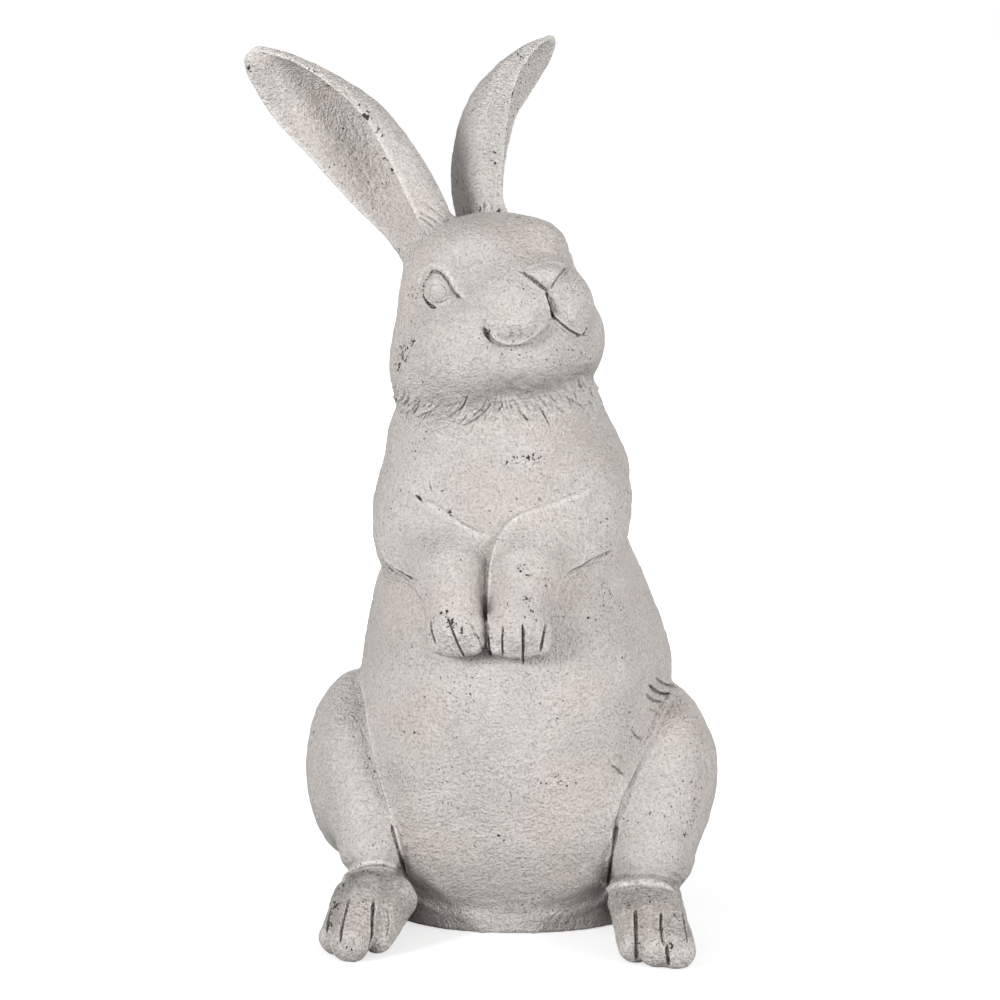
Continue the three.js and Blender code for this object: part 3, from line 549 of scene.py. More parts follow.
def between_corners(corner, part, value_at):
    """A value between the eight corners of a cube, from the values at the corners."""
    value = np.zeros(len(corner))
    for step in np.ndindex(2, 2, 2):
        value += np.abs(1 - np.array(step) - part).prod(1) * value_at(*(corner + step).T)
    return value


def roughly(p):
    at = np.clip((p - rough_low) / ROUGH_STEP, 0, rough_count - 1.001)
    corner = at.astype(int)
    return between_corners(corner, at - corner, lambda i, j, k: rough_field[i, j, k])


# Carving: lines and ridges that the modeller draws in the clay before the moulds are taken. Each
# has a width, a depth (a height, if below zero), how dark it is painted (dirt in the line, and painted
# shade in deep cuts and along wide soft lines), and a lift: how far its right side stands above its left
# side.

LINE_STEP = 0.5
PICTURE_STEP = 2.5
RAY_STEPS, RAY_START = 60, 200.0
RAY_STRIDES, RAY_CAUTION = (-3, 20), 0.85
carved = []


def along_path(points, spacing):
    """Even points along a smooth line through the given ones."""
    points = np.array(points, float)
    lengths = np.concatenate(([0], np.cumsum(np.linalg.norm(np.diff(points, axis=0), axis=1))))
    return smooth_table([(at, *point) for at, point in zip(lengths, points)], spacing)[:, 1:]


def seen(pixels):
    """The points on the original that are seen behind these places of the picture."""
    offset = (np.array(pixels, float) - PICTURE_WIDTH / 2) * SENSOR_WIDTH / LENS / PICTURE_WIDTH
    rays = view_forward + np.outer(offset[:, 0], view_right) - np.outer(offset[:, 1], view_up)
    rays /= np.linalg.norm(rays, axis=1)[:, None]
    travel = np.full(len(rays), VIEW_DISTANCE - RAY_START)
    for _ in range(RAY_STEPS):
        gap = roughly(view_point + rays * travel[:, None])
        travel += np.clip(gap, *RAY_STRIDES) * RAY_CAUTION
    return onto_surface(view_point + rays * travel[:, None], 2)[0][np.abs(gap) < 1.0]


def carve(points, width, depth, dark, lift=0.0):
    """Adds a line: its points, the way at each, their spacing, and how it is cut."""
    step = max(LINE_STEP, 0.4 * width)
    points = along_path(points, step)
    if len(points) > 4:
        carved.append((points, np.gradient(points, axis=0), step, width, depth, dark, lift))


def carve_seen(pixels, width, depth, dark, lift=0.0):
    carve(seen(along_path(pixels, PICTURE_STEP)), width, depth, dark, lift)
    return carved[-1][0]


def taken_to_left(points):
    """Points of the rabbit's right side of the face, mirrored to its left side."""
    local = in_head(points) * (-1, 1, 1)
    return onto_surface(from_head(local), 4)[0]


# Carving, eyes: each eyeball carries a shallow ring for the iris. A raised lid runs over it and
# meets the lower lid in the inner corner, and a deep cut at the back is painted near black as shade.

EYE_LINES = (
    # picture places, width, depth, dark, lift
    (
        ((419, 288), (420, 277), (427, 267), (436, 265), (446, 271), (454, 283), (462, 295), (467, 301)),
        1.0, -1.0, 0, 0,
    ),
    (
        ((424, 298), (423, 287), (427, 277), (434, 271), (442, 274), (449, 283), (456, 294), (462, 299)),
        0.6, 1.4, 2.1, -1.8,
    ),
    (((422, 290), (424, 297), (428, 303), (433, 307), (437, 308)), 0.75, 2.2, 5.0, 0),
    (((431, 304), (439, 305), (447, 302), (455, 297)), 0.9, -0.55, 0, 0),
    (((430, 300), (437, 302), (446, 300), (453, 295)), 0.55, 0.6, 0.9, 0),
    (
        ((437, 283), (443, 286), (446, 292), (442, 298), (435, 299), (430, 294), (431, 286), (437, 283)),
        0.55, 0.5, 0.8, 0,
    ),
)
HIDDEN_BY_BROW = 27.0
for line, *cut in EYE_LINES:
    mirrored_line = taken_to_left(carve_seen(line, *cut))
    width, depth, dark, lift = cut
    far_part = in_head(mirrored_line)[:, 0] > HIDDEN_BY_BROW
    carve(mirrored_line[far_part], width, depth, dark, -lift)

# Carving, nose and mouth: two creases come down from the nostrils and meet in the cleft of the
# lip, which parts to both sides below and ends in a pit at each corner of the mouth.

FACE_LINES = (
    (((517, 270), (525, 274), (533, 279), (540, 285), (549, 292)), 0.6, 1.9, 3.2, 0),
    (((520, 272), (526, 275), (533, 279), (540, 285), (548, 291)), 1.3, 0, 0, -2.8),
    (((549, 291), (553, 284), (559, 275), (566, 266)), 0.6, 1.2, 1.3, -1.5),
    (((527, 268), (536, 264), (547, 262), (560, 264), (568, 267)), 1.2, -0.6, 0, 0),
    (((547, 288), (547, 298), (549, 307), (552, 315), (556, 321)), 0.9, 2.6, 4.5, 0),
    # Painted shade to the right of the cleft of the lip.
    (((550, 293), (551, 300), (553, 308), (557, 317)), 1.5, 0.5, 0.9, 0),
    (((548, 289), (547, 298), (549, 307), (552, 315), (555, 319)), 1.6, 0, 0, 3.2),
    (((553, 316), (562, 324), (570, 330), (578, 334), (586, 336)), 0.5, 1.3, 1.4, -2.6),
    (((556, 318), (548, 321), (541, 329), (532, 337), (522, 342)), 0.7, 0.7, 0.4, 2.6),
    (((535, 334), (524, 341), (515, 344), (505, 344), (496, 341), (487, 334)), 0.6, 1.1, 0.8, 3.0),
    (
        ((548, 322), (541, 330), (530, 339), (515, 345), (503, 345), (493, 341), (484, 333)),
        2.6, 0, 0, 3.0,
    ),
    (((548, 325), (541, 332), (531, 341), (516, 347), (503, 347), (492, 343)), 0.6, -0.6, 0, 0),
    (((555, 321), (563, 328), (571, 334), (579, 338)), 0.7, -1.0, 0, 0),
    # Painted shade: a darker middle to the cleft, and wide soft dark lines under the near lip pad, round
    # the near corner of the mouth and beside the far pad.
    (((548, 296), (549, 304), (551, 312)), 1.3, 1.4, 4.0, 0),
    (((494, 330), (503, 336), (515, 338), (527, 334), (537, 325)), 4.2, 0.4, 0.55, 0),
    (((478, 323), (486, 332), (495, 341)), 3.0, 0.5, 0.7, 0),
    (((557, 306), (561, 315), (568, 322), (576, 327)), 2.6, 0.3, 0.45, 0),
    (((495, 343), (490, 338), (486, 333), (483, 328)), 1.0, 2.8, 4.5, 0),
    (((575, 338), (580, 335), (585, 331), (587, 326)), 0.9, 2.4, 4.5, 0),
)
for line, *cut in FACE_LINES:
    carve_seen(line, *cut)

# Carving, forelegs: the arms lie on the chest with a raised edge. Skin folds at the elbows, and
# straight cuts part the toes.

ARM_LINES = (
    (
        ((413, 496), (420, 499), (432, 503), (450, 515), (463, 524), (476, 531), (488, 537)),
        1.3, -0.7, 0, 2.4,
    ),
    (
        ((594, 489), (568, 497), (547, 505), (532, 510), (518, 515), (507, 524), (499, 537)),
        1.3, -0.7, 0, -2.4,
    ),
    (
        ((502, 530), (497, 540), (493, 552), (490, 568), (488, 590), (488, 612), (490, 630)),
        1.1, -0.6, 0, -2.6,
    ),
    (((414, 494), (418, 497), (422, 501), (425, 504)), 0.65, 1.5, 3.4, 0),
    (((445, 511), (450, 515), (456, 519)), 0.55, 1.2, 3.0, 0),
    (((458, 521), (462, 524), (466, 526)), 0.5, 1.0, 2.4, 0),
    (((537, 497), (541, 500), (546, 503)), 0.6, 1.2, 2.6, 0),
    (((537, 490), (543, 493), (550, 497)), 0.5, 0.8, 0.8, 0),
    (((429, 480), (430, 487), (432, 494)), 0.6, 0.8, 0.9, 0),
    (((423, 485), (425, 491), (428, 497)), 0.6, 0.6, 0.6, 0),
    (((380, 549), (387, 561), (397, 571), (410, 579), (419, 592), (426, 610)), 1.2, 0.6, 0.3, -2.4),
    (((381, 550), (387, 560), (396, 568), (406, 574), (414, 579)), 0.8, 2.3, 3.2, 0),
    (((382, 560), (390, 570), (400, 577), (411, 583)), 0.7, 1.7, 2.4, 0),
    (((386, 556), (393, 564), (402, 571)), 0.5, -0.5, 0, 0),
    (
        ((612, 551), (598, 557), (585, 565), (572, 571), (562, 580), (557, 592), (555, 606)),
        1.2, 0.8, 0.3, 2.2,
    ),
    (((613, 551), (603, 555), (592, 559), (578, 567)), 0.6, 1.1, 1.5, 0),
    (((581, 561), (590, 557), (600, 553)), 0.5, 0.7, 0.6, 0),
    (((586, 567), (597, 562), (607, 557)), 0.5, 0.7, 0.5, 0),
    (((447, 540), (449, 552), (450, 562), (454, 574), (458, 586)), 1.3, -0.45, 0, 0),
)
PAW_LINES = (
    (((447, 616), (453, 632), (458, 645), (464, 657)), 0.6, 1.7, 2.2, 0),
    (((470, 620), (474, 631), (480, 641), (483, 652)), 0.6, 0.8, 0.6, 0),
    (((430, 617), (431, 630), (436, 645)), 0.8, 1.1, 1.4, 0),
    (((503, 624), (502, 640), (503, 656)), 0.6, 1.4, 1.8, 0),
    (((523, 622), (523, 640), (523, 664)), 0.65, 2.3, 3.4, 0),
    (((546, 622), (543, 638), (540, 655)), 0.8, 1.7, 2.0, 0),
    (((487, 634), (488, 645), (491, 655)), 1.3, 2.0, 2.4, 0),
)
for line, *cut in ARM_LINES + PAW_LINES:
    carve_seen(line, *cut)

# Carving, hind legs and feet: the flank stands a little over each haunch, with tufts at its edge.
# A raised rim marks each ankle, and deep cuts part the toes.

LEG_LINES = (
    (((360, 674), (366, 710), (372, 750), (379, 778), (386, 803), (393, 828)), 1.2, -0.4, 0, -2.0),
    (((391, 822), (396, 840), (401, 858), (406, 876)), 1.0, 1.4, 1.6, -1.2),
    (((676, 692), (661, 722), (648, 750), (634, 776), (622, 800), (615, 828)), 1.3, 0.4, 0.4, 1.8),
    (((617, 822), (613, 845), (610, 866), (608, 886)), 1.0, 1.4, 1.6, 1.2),
    (((655, 677), (665, 684), (678, 686)), 0.5, 1.5, 1.5, -1.6),
    (((648, 684), (658, 692), (673, 694)), 0.6, 1.8, 2.4, -1.8),
    (((645, 693), (653, 700), (665, 702)), 0.5, 1.4, 1.3, -1.4),
    (((647, 707), (653, 711), (660, 712)), 0.4, 0.7, 0.4, -0.8),
    (((630, 729), (637, 737), (645, 743)), 0.45, 1.0, 0.8, -1.2),
    (((614, 752), (621, 758), (626, 765)), 0.4, 0.7, 0.4, -1.0),
    (((609, 763), (617, 769), (625, 778)), 0.5, 1.1, 1.1, -1.4),
    (((606, 777), (610, 783), (618, 787)), 0.4, 0.7, 0.6, -0.8),
    (((405, 878), (413, 894), (430, 906), (455, 913), (485, 917)), 3.6, -0.6, 0, 0),
    (((610, 884), (603, 898), (585, 908), (560, 914), (530, 917)), 3.6, -0.6, 0, 0),
)
FOOT_LINES = (
    (((350, 896), (346, 912), (342, 927), (340, 946)), 0.8, 1.9, 2.0, 0),
    (((374, 900), (372, 920), (371, 938), (367, 955)), 1.1, 3.0, 3.0, 0),
    (((331, 905), (328, 920), (327, 938)), 0.7, 1.2, 1.6, 0),
    (((386, 908), (389, 922), (386, 940)), 0.6, 0.8, 0.8, 0),
    (((635, 908), (636, 930), (637, 962)), 0.9, 2.4, 2.6, 0),
    (((661, 910), (661, 928), (664, 948)), 0.7, 1.6, 1.8, 0),
    (((666, 942), (667, 953), (669, 968)), 0.9, 1.8, 2.4, 0),
    (((682, 910), (685, 926), (688, 946)), 0.6, 0.8, 1.0, 0),
    (((342, 884), (346, 876), (354, 868), (366, 863), (382, 862), (396, 867)), 1.6, -1.2, 0, 1.6),
    (((606, 893), (612, 888), (628, 884), (645, 883), (661, 885), (676, 891)), 1.6, -1.3, 0, -1.6),
)
for line, *cut in LEG_LINES + FOOT_LINES:
    carve_seen(line, *cut)

# Carving, fur: a fringe of tufts where the jaw lies on the neck, hairs at the roots of the ears,
# scratches on the feet and a combed tail.

FUR_SEED = 7
STROKE_STEPS = 8
LONGEST_STRIDE = 4
NECK_PLACE, NECK_RADII, FRINGE_ANGLE = (-9, -30), (52, 44), 2.3
FRINGE_ROWS = (
    # strokes, lowest and highest start, fan, length, curl, width, depth, dark: tufts, then partings
    (120, 277, 288, 0.7, 17, 0.8, 0.8, -0.55, 0),
    (100, 277, 288, 0.7, 17, 0.8, 0.5, 0.55, 0.25),
    (80, 268, 280, 0.5, 14, 0.6, 0.5, 0.5, 0.25),
)
PARTING_CUT = (0.5, 1.1, 1.1)
FRINGE_PARTINGS = (
    ((468, 395), (465, 403), (457, 414)),
    ((504, 400), (501, 408), (496, 416)),
    ((522, 413), (526, 419), (531, 425)),
    ((420, 404), (416, 410), (412, 416)),
    ((493, 399), (488, 409), (477, 419), (459, 428)),
    ((540, 407), (545, 417), (552, 429)),
    ((565, 397), (578, 404), (593, 419)),
)
EAR_HAIRS, EAR_RING_RADII = 40, (17, 14)
FOOT_SCRATCHES, FOOT_SCRATCH_WAY = 46, (-1.0, -0.6)
SCRATCHED_ACROSS, SCRATCHED_ALONG, SCRATCHED_UP = (52, 92), (-118, -84), (14, 42)
TAIL_HAIRS, TAIL_HAIR_REACH, TAIL_HAIR_WAY = 60, (21, 16, 20), (0.1, 0.3, -1.0)
# length, curl, width, depth, dark
EAR_HAIR = (14, 0.3, 0.55, 0.7, 0.7)
FOOT_SCRATCH = (6, 0.8, 0.5, 0.5, 0.9)
TAIL_HAIR = (12, 0.5, 0.8, 0.8, 0.5)

fur_random = np.random.default_rng(FUR_SEED)


def comb(starts, directions, length, curl, width, depth, dark):
    """Fur strokes that run over the surface from their starting points."""
    p, outward = onto_surface(starts, 10, 1.5)
    held = np.abs(roughly(p)) < 1.0
    p, outward, way = p[held], outward[held], np.array(directions, float)[held]
    bend = np.broadcast_to(curl, len(starts))[held] * fur_random.uniform(0.6, 1.3, len(p))
    lengths = length * fur_random.uniform(0.6, 1.15, len(p))
    rows = [p]
    for _ in range(STROKE_STEPS):
        way = way - outward * (way * outward).sum(1)[:, None]
        way = way / (np.linalg.norm(way, axis=1)[:, None] + 1e-9)
        p, outward = onto_surface(p + way * (lengths / STROKE_STEPS)[:, None], 1)
        way = way + np.cross(outward, way) * bend[:, None] / STROKE_STEPS
        rows.append(p)
    for row in np.stack(rows, 1):
        share = fur_random.uniform(0.6, 1.3)
        if np.abs(np.diff(row, axis=0)).max() < LONGEST_STRIDE:
            carve(row, width * share, depth * share, dark * share)


def round_the_neck(count, low, high, fan):
    """Starting points round the neck below the jaw, ways down that fan out, and their bends."""
    angles = np.linspace(-FRINGE_ANGLE, FRINGE_ANGLE, count) + fur_random.uniform(-0.03, 0.03, count)
    heights = fur_random.uniform(low, high, count)
    across = NECK_PLACE[0] + NECK_RADII[0] * np.sin(angles)
    starts = np.stack((across, NECK_PLACE[1] - NECK_RADII[1] * np.cos(angles), heights), 1)
    lean = fan * np.clip(angles * 2, -1, 1)
    ways = np.stack((lean * np.cos(angles), lean * np.sin(angles), np.full(count, -1.0)), 1)
    return starts, ways, np.sign(angles)


for count, low, high, fan, length, curl, *cut in FRINGE_ROWS:
    starts, ways, bends = round_the_neck(count, low, high, fan)
    comb(starts, ways, length, curl * bends, *cut)
for line in FRINGE_PARTINGS:
    carve_seen(line, *PARTING_CUT)

for side in (LEFT, RIGHT):
    root, along, opening, across = ear_frame(side)
    angles = np.linspace(0, 2 * math.pi, EAR_HAIRS)
    wide, deep = EAR_RING_RADII
    ring = np.outer(np.cos(angles), across) * wide + np.outer(np.sin(angles), opening) * deep
    comb(root + along + ring, np.tile(along, (EAR_HAIRS, 1)), *EAR_HAIR)
    scratches = np.stack((
        side * fur_random.uniform(*SCRATCHED_ACROSS, FOOT_SCRATCHES),
        fur_random.uniform(*SCRATCHED_ALONG, FOOT_SCRATCHES),
        fur_random.uniform(*SCRATCHED_UP, FOOT_SCRATCHES),
    ), 1)
    comb(scratches, np.tile((0.15 * side, *FOOT_SCRATCH_WAY), (FOOT_SCRATCHES, 1)), *FOOT_SCRATCH)

angles = fur_random.uniform(0, 2 * math.pi, TAIL_HAIRS)
spread = fur_random.uniform(0.2, 1.0, TAIL_HAIRS)
wide, deep, high = TAIL_HAIR_REACH
tuft = np.array(TAIL_PLACE) + np.stack((
    wide * spread * np.cos(angles), np.full(TAIL_HAIRS, float(deep)), 4 + high * spread * np.sin(angles)
), 1)
comb(tuft, np.tile(TAIL_HAIR_WAY, (TAIL_HAIRS, 1)), *TAIL_HAIR)

# Chips: places where the paint has come off down to the dark ground, as knocks and weather leave it.
# Each is found through its place in the picture.

CHIP_SPOTS = (
    # picture place, radius
    (404, 352, 6.5), (398, 366, 5), (412, 344, 3), (507, 461, 2.2), (515, 457, 2.4),
    (525, 457, 1.6), (536, 456, 2), (546, 459, 1.5), (625, 656, 2.6), (455, 738, 1.8),
    (500, 836, 1.5), (314, 732, 1.8), (311, 743, 1.3), (641, 812, 1.4), (650, 813, 1.2),
    (672, 806, 1.2), (685, 834, 1.6), (250, 68, 2.4), (307, 68, 1.8), (314, 73, 2.2),
    (322, 79, 2.6), (329, 86, 2), (365, 117, 2.6), (379, 133, 2.2), (387, 158, 2.4),
    (393, 171, 1.8), (398, 184, 1.2), (520, 57, 2.2), (511, 92, 1.6), (505, 104, 1.4),
    (498, 135, 1.4), (494, 152, 2), (495, 162, 2), (458, 182, 2), (524, 570, 2.8),
    (529, 575, 1.6), (527, 600, 3), (531, 610, 2), (512, 623, 2.4), (444, 614, 2.6),
    (453, 622, 3), (462, 630, 1.6), (434, 622, 3), (430, 634, 2.2), (417, 500, 1.6),
    (450, 512, 1.6), (480, 208, 3), (500, 210, 2.4), (335, 905, 2.4), (332, 925, 2.6),
    (350, 948, 2), (365, 900, 1.6), (628, 905, 2.6), (650, 900, 2), (660, 930, 2.6),
    (676, 915, 2.2), (672, 945, 2.4), (640, 945, 2), (684, 938, 2.4), (460, 560, 1.2),
    (388, 470, 1.2), (607, 470, 1.2), (588, 618, 1.4), (644, 600, 1.4), (560, 700, 1.2),
    (420, 700, 1.2),
)
chip_found = [(seen(((x, y), (x, y))), radius) for x, y, radius in CHIP_SPOTS]
chips = [(places[0], radius) for places, radius in chip_found if len(places)]


# Casting: each casting takes its skin from the original through a net of fine cubes, with the
# relief of the clay and the carved lines on it. It is cut from its neighbours along the seam, at
# equal distance from both forms, and closed there.

CLAY_SEED, CLAY_GRID = 3, 32
CLAY_RELIEF = (
    # height, size, place in the noise
    (0.45, 13, 0), (0.24, 5, 50), (0.16, 2.4, 90),
)
clay_grid = np.random.default_rng(CLAY_SEED).random((CLAY_GRID,) * 3) * 2 - 1


def unevenness(p, size):
    """Smooth random height from -1 to 1, changing over the given size."""
    at = p / size
    corner = np.floor(at).astype(int)
    part = at - corner
    eased = part * part * (3 - 2 * part)
    return between_corners(corner, eased, lambda *at: clay_grid[tuple(np.array(at) % CLAY_GRID)])


def relief(p):
    return sum(height * unevenness(p + place, size) for height, size, place in CLAY_RELIEF)


BIN = 6.0
BINS_ACROSS = 1000


def cube_numbers(p):
    """The number of the coarse cube in which each point lies."""
    i, j, k = (np.floor(p / BIN).astype(int) + BINS_ACROSS // 2).T
    return (i * BINS_ACROSS + j) * BINS_ACROSS + k


def binned(p):
    """The points in order of the coarse cubes that they lie in, and the numbers of these cubes."""
    numbers = cube_numbers(p)
    order = np.argsort(numbers, kind="stable")
    return order, numbers[order]


def lattice(stations):
    """All points of a cubic lattice with the given stations along each side."""
    return np.stack(np.meshgrid(*[stations] * 3, indexing="ij"), -1).reshape(-1, 3)


ROUND = lattice((-1, -0.5, 0, 0.5, 1))


def in_reach(row, reach, order, numbers):
    """Which of the binned points may lie within reach of a line."""
    wanted = np.unique(cube_numbers((row[:, None] + ROUND * reach).reshape(-1, 3)))
    starts, stops = np.searchsorted(numbers, wanted), np.searchsorted(numbers, wanted, side="right")
    return np.concatenate([order[a:b] for a, b in zip(starts, stops)] or [order[:0]])


def nearest_on(row, p):
    """For each point, the nearest point of a line and the square of its distance."""
    away = ((p[:, None] - row) ** 2).sum(2)
    nearest = away.argmin(1)
    return nearest, away[np.arange(len(p)), nearest]


LINE_REACH = 2.6
LEDGE_REACH = 4.5
LIP_PLACE_BESIDE, LIP_SHARE = 1.6, 0.15
# On a lifted line the paler crest on the upper side is a painted highlight, and the darker foot on the
# lower side is painted shade.
CREST_BESIDE, CREST_PAINTED_HIGHLIGHT, CREST_LIFT = 0.9, 0.6, 2.5
LEDGE_FOOT_BESIDE, LEDGE_FOOT_PAINTED_SHADE, LEDGE_FOOT_LIFT = 0.4, 0.55, 3


def carving_at(p, outward):
    """Height of the carving, the dirt and painted shade that it holds, and the rubbed edge and painted
    highlight beside it.
    """
    height, dark, rubbed_edges_and_highlights = np.zeros(len(p)), np.zeros(len(p)), np.zeros(len(p))
    order, numbers = binned(p)
    for points, ways, step, width, depth, dirt_and_shade, lift in carved:
        reach = max(LINE_REACH, 1.8 * LEDGE_REACH * bool(lift)) * width
        near = in_reach(points, reach, order, numbers)
        if not len(near):
            continue
        nearest, gap = nearest_on(points, p[near])
        share = np.sqrt(gap) / width
        from_end = np.minimum(nearest, len(points) - 1 - nearest) * step
        fade = np.clip((from_end + 0.4) / 4, 0.05, 1)
        groove = np.exp(-((share / (0.45 + 0.55 * fade)) ** 2) * 1.4) * fade
        lip = np.exp(-((share - LIP_PLACE_BESIDE) ** 2) * 4) * fade
        height[near] += LIP_SHARE * max(depth, 0) * lip - depth * groove
        dark[near] = np.maximum(dark[near], dirt_and_shade * groove * (depth > 0))
        rubbed_and_highlit = 0.8 * groove if depth < 0 else 0.5 * lip
        rubbed_edges_and_highlights[near] = np.maximum(rubbed_edges_and_highlights[near], rubbed_and_highlit * min(1, abs(depth)))
        # A lifted line stands as a ledge: its crest is painted paler as a highlight and its foot darker as
        # shade.
        if lift:
            right = np.cross(ways[nearest], outward[near])
            aside = ((p[near] - points[nearest]) * right).sum(1)
            aside /= np.linalg.norm(right, axis=1) + 1e-9
            falling = np.exp(-((share / LEDGE_REACH) ** 2)) * np.clip(from_end / 8, 0, 1)
            height[near] += 0.5 * lift * np.tanh(aside / (0.5 * width)) * falling
            upward = aside * np.sign(lift) / width
            ending = np.clip(from_end / 4, 0, 1)
            crest = np.exp(-((upward - CREST_BESIDE) ** 2) * 1.5) * ending
            foot = np.exp(-((upward + LEDGE_FOOT_BESIDE) ** 2) * 0.8) * ending
            crest *= CREST_PAINTED_HIGHLIGHT * min(1, abs(lift) / CREST_LIFT) * (depth < 0)
            foot *= LEDGE_FOOT_PAINTED_SHADE * min(1, abs(lift) / LEDGE_FOOT_LIFT)
            rubbed_edges_and_highlights[near] = np.maximum(rubbed_edges_and_highlights[near], crest)
            dark[near] = np.maximum(dark[near], foot)
    return height, dark, rubbed_edges_and_highlights


BLOCK = 4
CLOSE_BY = 6.5
BAND = 3


def net(rule, low, high, cell):
    """Points and four-cornered faces of the surface where a distance field is zero.

    The field is worked out in blocks of cubes, and cube by cube only close to the surface."""
    count = np.ceil((high - low) / (BLOCK * cell)).astype(int) + 1
    corners = np.stack(np.meshgrid(*[np.arange(n) for n in count], indexing="ij"), -1)
    coarse = rule(low + corners.reshape(-1, 3) * BLOCK * cell).reshape(count)
    close = np.abs(coarse) < CLOSE_BY * cell
    wanted = np.zeros(count, bool)
    for i, j, k in np.ndindex(2, 2, 2):
        part = close[i:, j:, k:]
        wanted[: part.shape[0], : part.shape[1], : part.shape[2]] |= part
    nodes = (np.argwhere(wanted)[:, None] * BLOCK + lattice(range(BLOCK))).reshape(-1, 3)
    dense = coarse.repeat(BLOCK, 0).repeat(BLOCK, 1).repeat(BLOCK, 2)
    dense[tuple(nodes.T)] = np.concatenate(
        [rule(low + part * cell) for part in np.array_split(nodes, len(nodes) // 100000 + 1)]
    )
    for axis in range(3):
        sides = np.moveaxis(dense, axis, 0)
        sides[0] = sides[-1] = BAND * cell
    grid = openvdb.FloatGrid(background=float(BAND))
    grid.copyFromArray(np.clip(dense / cell, -BAND, BAND).astype(np.float32))
    points, faces = grid.convertToQuads(isovalue=0.0)
    return low + points * cell, faces


def finer_near_lines(points, faces, reach, longest):
    """Splits the edges near carved lines that are longer than asked, and the faces beside them."""
    ends = np.sort(np.concatenate((faces[:, (0, 1)], faces[:, (1, 2)], faces[:, (2, 0)])), axis=1)
    ends = ends.astype(np.int64)
    edges, of_edge = np.unique(ends[:, 0] * len(points) + ends[:, 1], return_inverse=True)
    first, second = edges // len(points), edges % len(points)
    middle = (points[first] + points[second]) / 2
    wanted = np.flatnonzero(np.linalg.norm(points[first] - points[second], axis=1) > longest)
    order, numbers = binned(middle[wanted])
    split = np.zeros(len(edges), bool)
    for row, _, _, width, depth, _, _ in carved:
        near = in_reach(row, reach * width, order, numbers) if depth else ()
        if len(near):
            gap = nearest_on(row, middle[wanted[near]])[1]
            split[wanted[near[gap < (reach * width) ** 2]]] = True
    new_point = np.where(split, len(points) + np.cumsum(split) - 1, -1)
    of_edge = new_point[of_edge.reshape(3, -1).T]
    a, b, c = faces.T
    ab, bc, ca = of_edge.T
    cases = (of_edge >= 0) @ (1, 2, 4)
    parts = []
    for case, pieces in (
        (0, ((a, b, c),)),
        (1, ((a, ab, c), (ab, b, c))),
        (2, ((a, b, bc), (a, bc, c))),
        (4, ((a, b, ca), (b, c, ca))),
        (3, ((a, ab, c), (ab, bc, c), (ab, b, bc))),
        (6, ((a, b, bc), (a, bc, ca), (bc, c, ca))),
        (5, ((a, ab, ca), (ab, b, ca), (b, c, ca))),
        (7, ((a, ab, ca), (ab, b, bc), (ca, bc, c), (ab, bc, ca))),
    ):
        chosen = cases == case
        parts += [np.stack([corner[chosen] for corner in piece], 1) for piece in pieces]
    return np.concatenate((points, middle[split])), np.concatenate(parts)


def mesh_object(name, points, faces):
    mesh = bpy.data.meshes.new(name)
    mesh.vertices.add(len(points))
    mesh.vertices.foreach_set("co", (points * MM).astype(np.float32).ravel())
    mesh.loops.add(faces.size)
    mesh.loops.foreach_set("vertex_index", faces.astype(np.int32).ravel())
    mesh.polygons.add(len(faces))
    starts = np.arange(0, faces.size, faces.shape[1], dtype=np.int32)
    mesh.polygons.foreach_set("loop_start", starts)
    mesh.update(calc_edges=True)
    made = bpy.data.objects.new(name, mesh)
    bpy.context.scene.collection.objects.link(made)
    return made


def cut(piece, operations):
    """Cuts a piece with closed tools, and keeps the result as its mesh."""
    for operation, tool in operations:
        boolean = piece.modifiers.new("seam", "BOOLEAN")
        boolean.solver = "MANIFOLD"
        boolean.operation = operation
        boolean.object = tool
    bpy.context.view_layer.update()
    worked_out = piece.evaluated_get(bpy.context.evaluated_depsgraph_get())
    shaped = bpy.data.meshes.new_from_object(worked_out)
    piece.modifiers.clear()
    old = piece.data
    piece.data = shaped
    bpy.data.meshes.remove(old)


SEAM_CELL = 3.0


def seam_solid(name, others):
    """The space that lies nearer to one form than to the other forms."""
    _, low, high = FORM_BOXES[name]

    def rule(p):
        return form(name, p) - np.min([form(other, p) for other in others], axis=0)

    return mesh_object(f"seam_{name}", *net(rule, np.array(low) + 1.0, np.array(high) - 1.0, SEAM_CELL))


seams = {name: seam_solid(name, ["torso"]) for name in ("head", "tail")}
for word, other in (("left", "right"), ("right", "left")):
    for name, others in (
        (f"ear_{word}", ["head"]),
        (f"foreleg_{word}", ["torso", f"foreleg_{other}"]),
        (f"hind_leg_{word}", ["torso"]),
        (f"hind_foot_{word}", ["torso", f"hind_leg_{word}"]),
    ):
        seams[name] = seam_solid(name, others)


EDGES_NEAR_LINES, NEAR_LINES = (1.1, 0.7), 1.9
OPEN_BORDER = 2.2
GROUND_EDGE_HEIGHT = 0.6
SHARP_EDGE = math.radians(62)


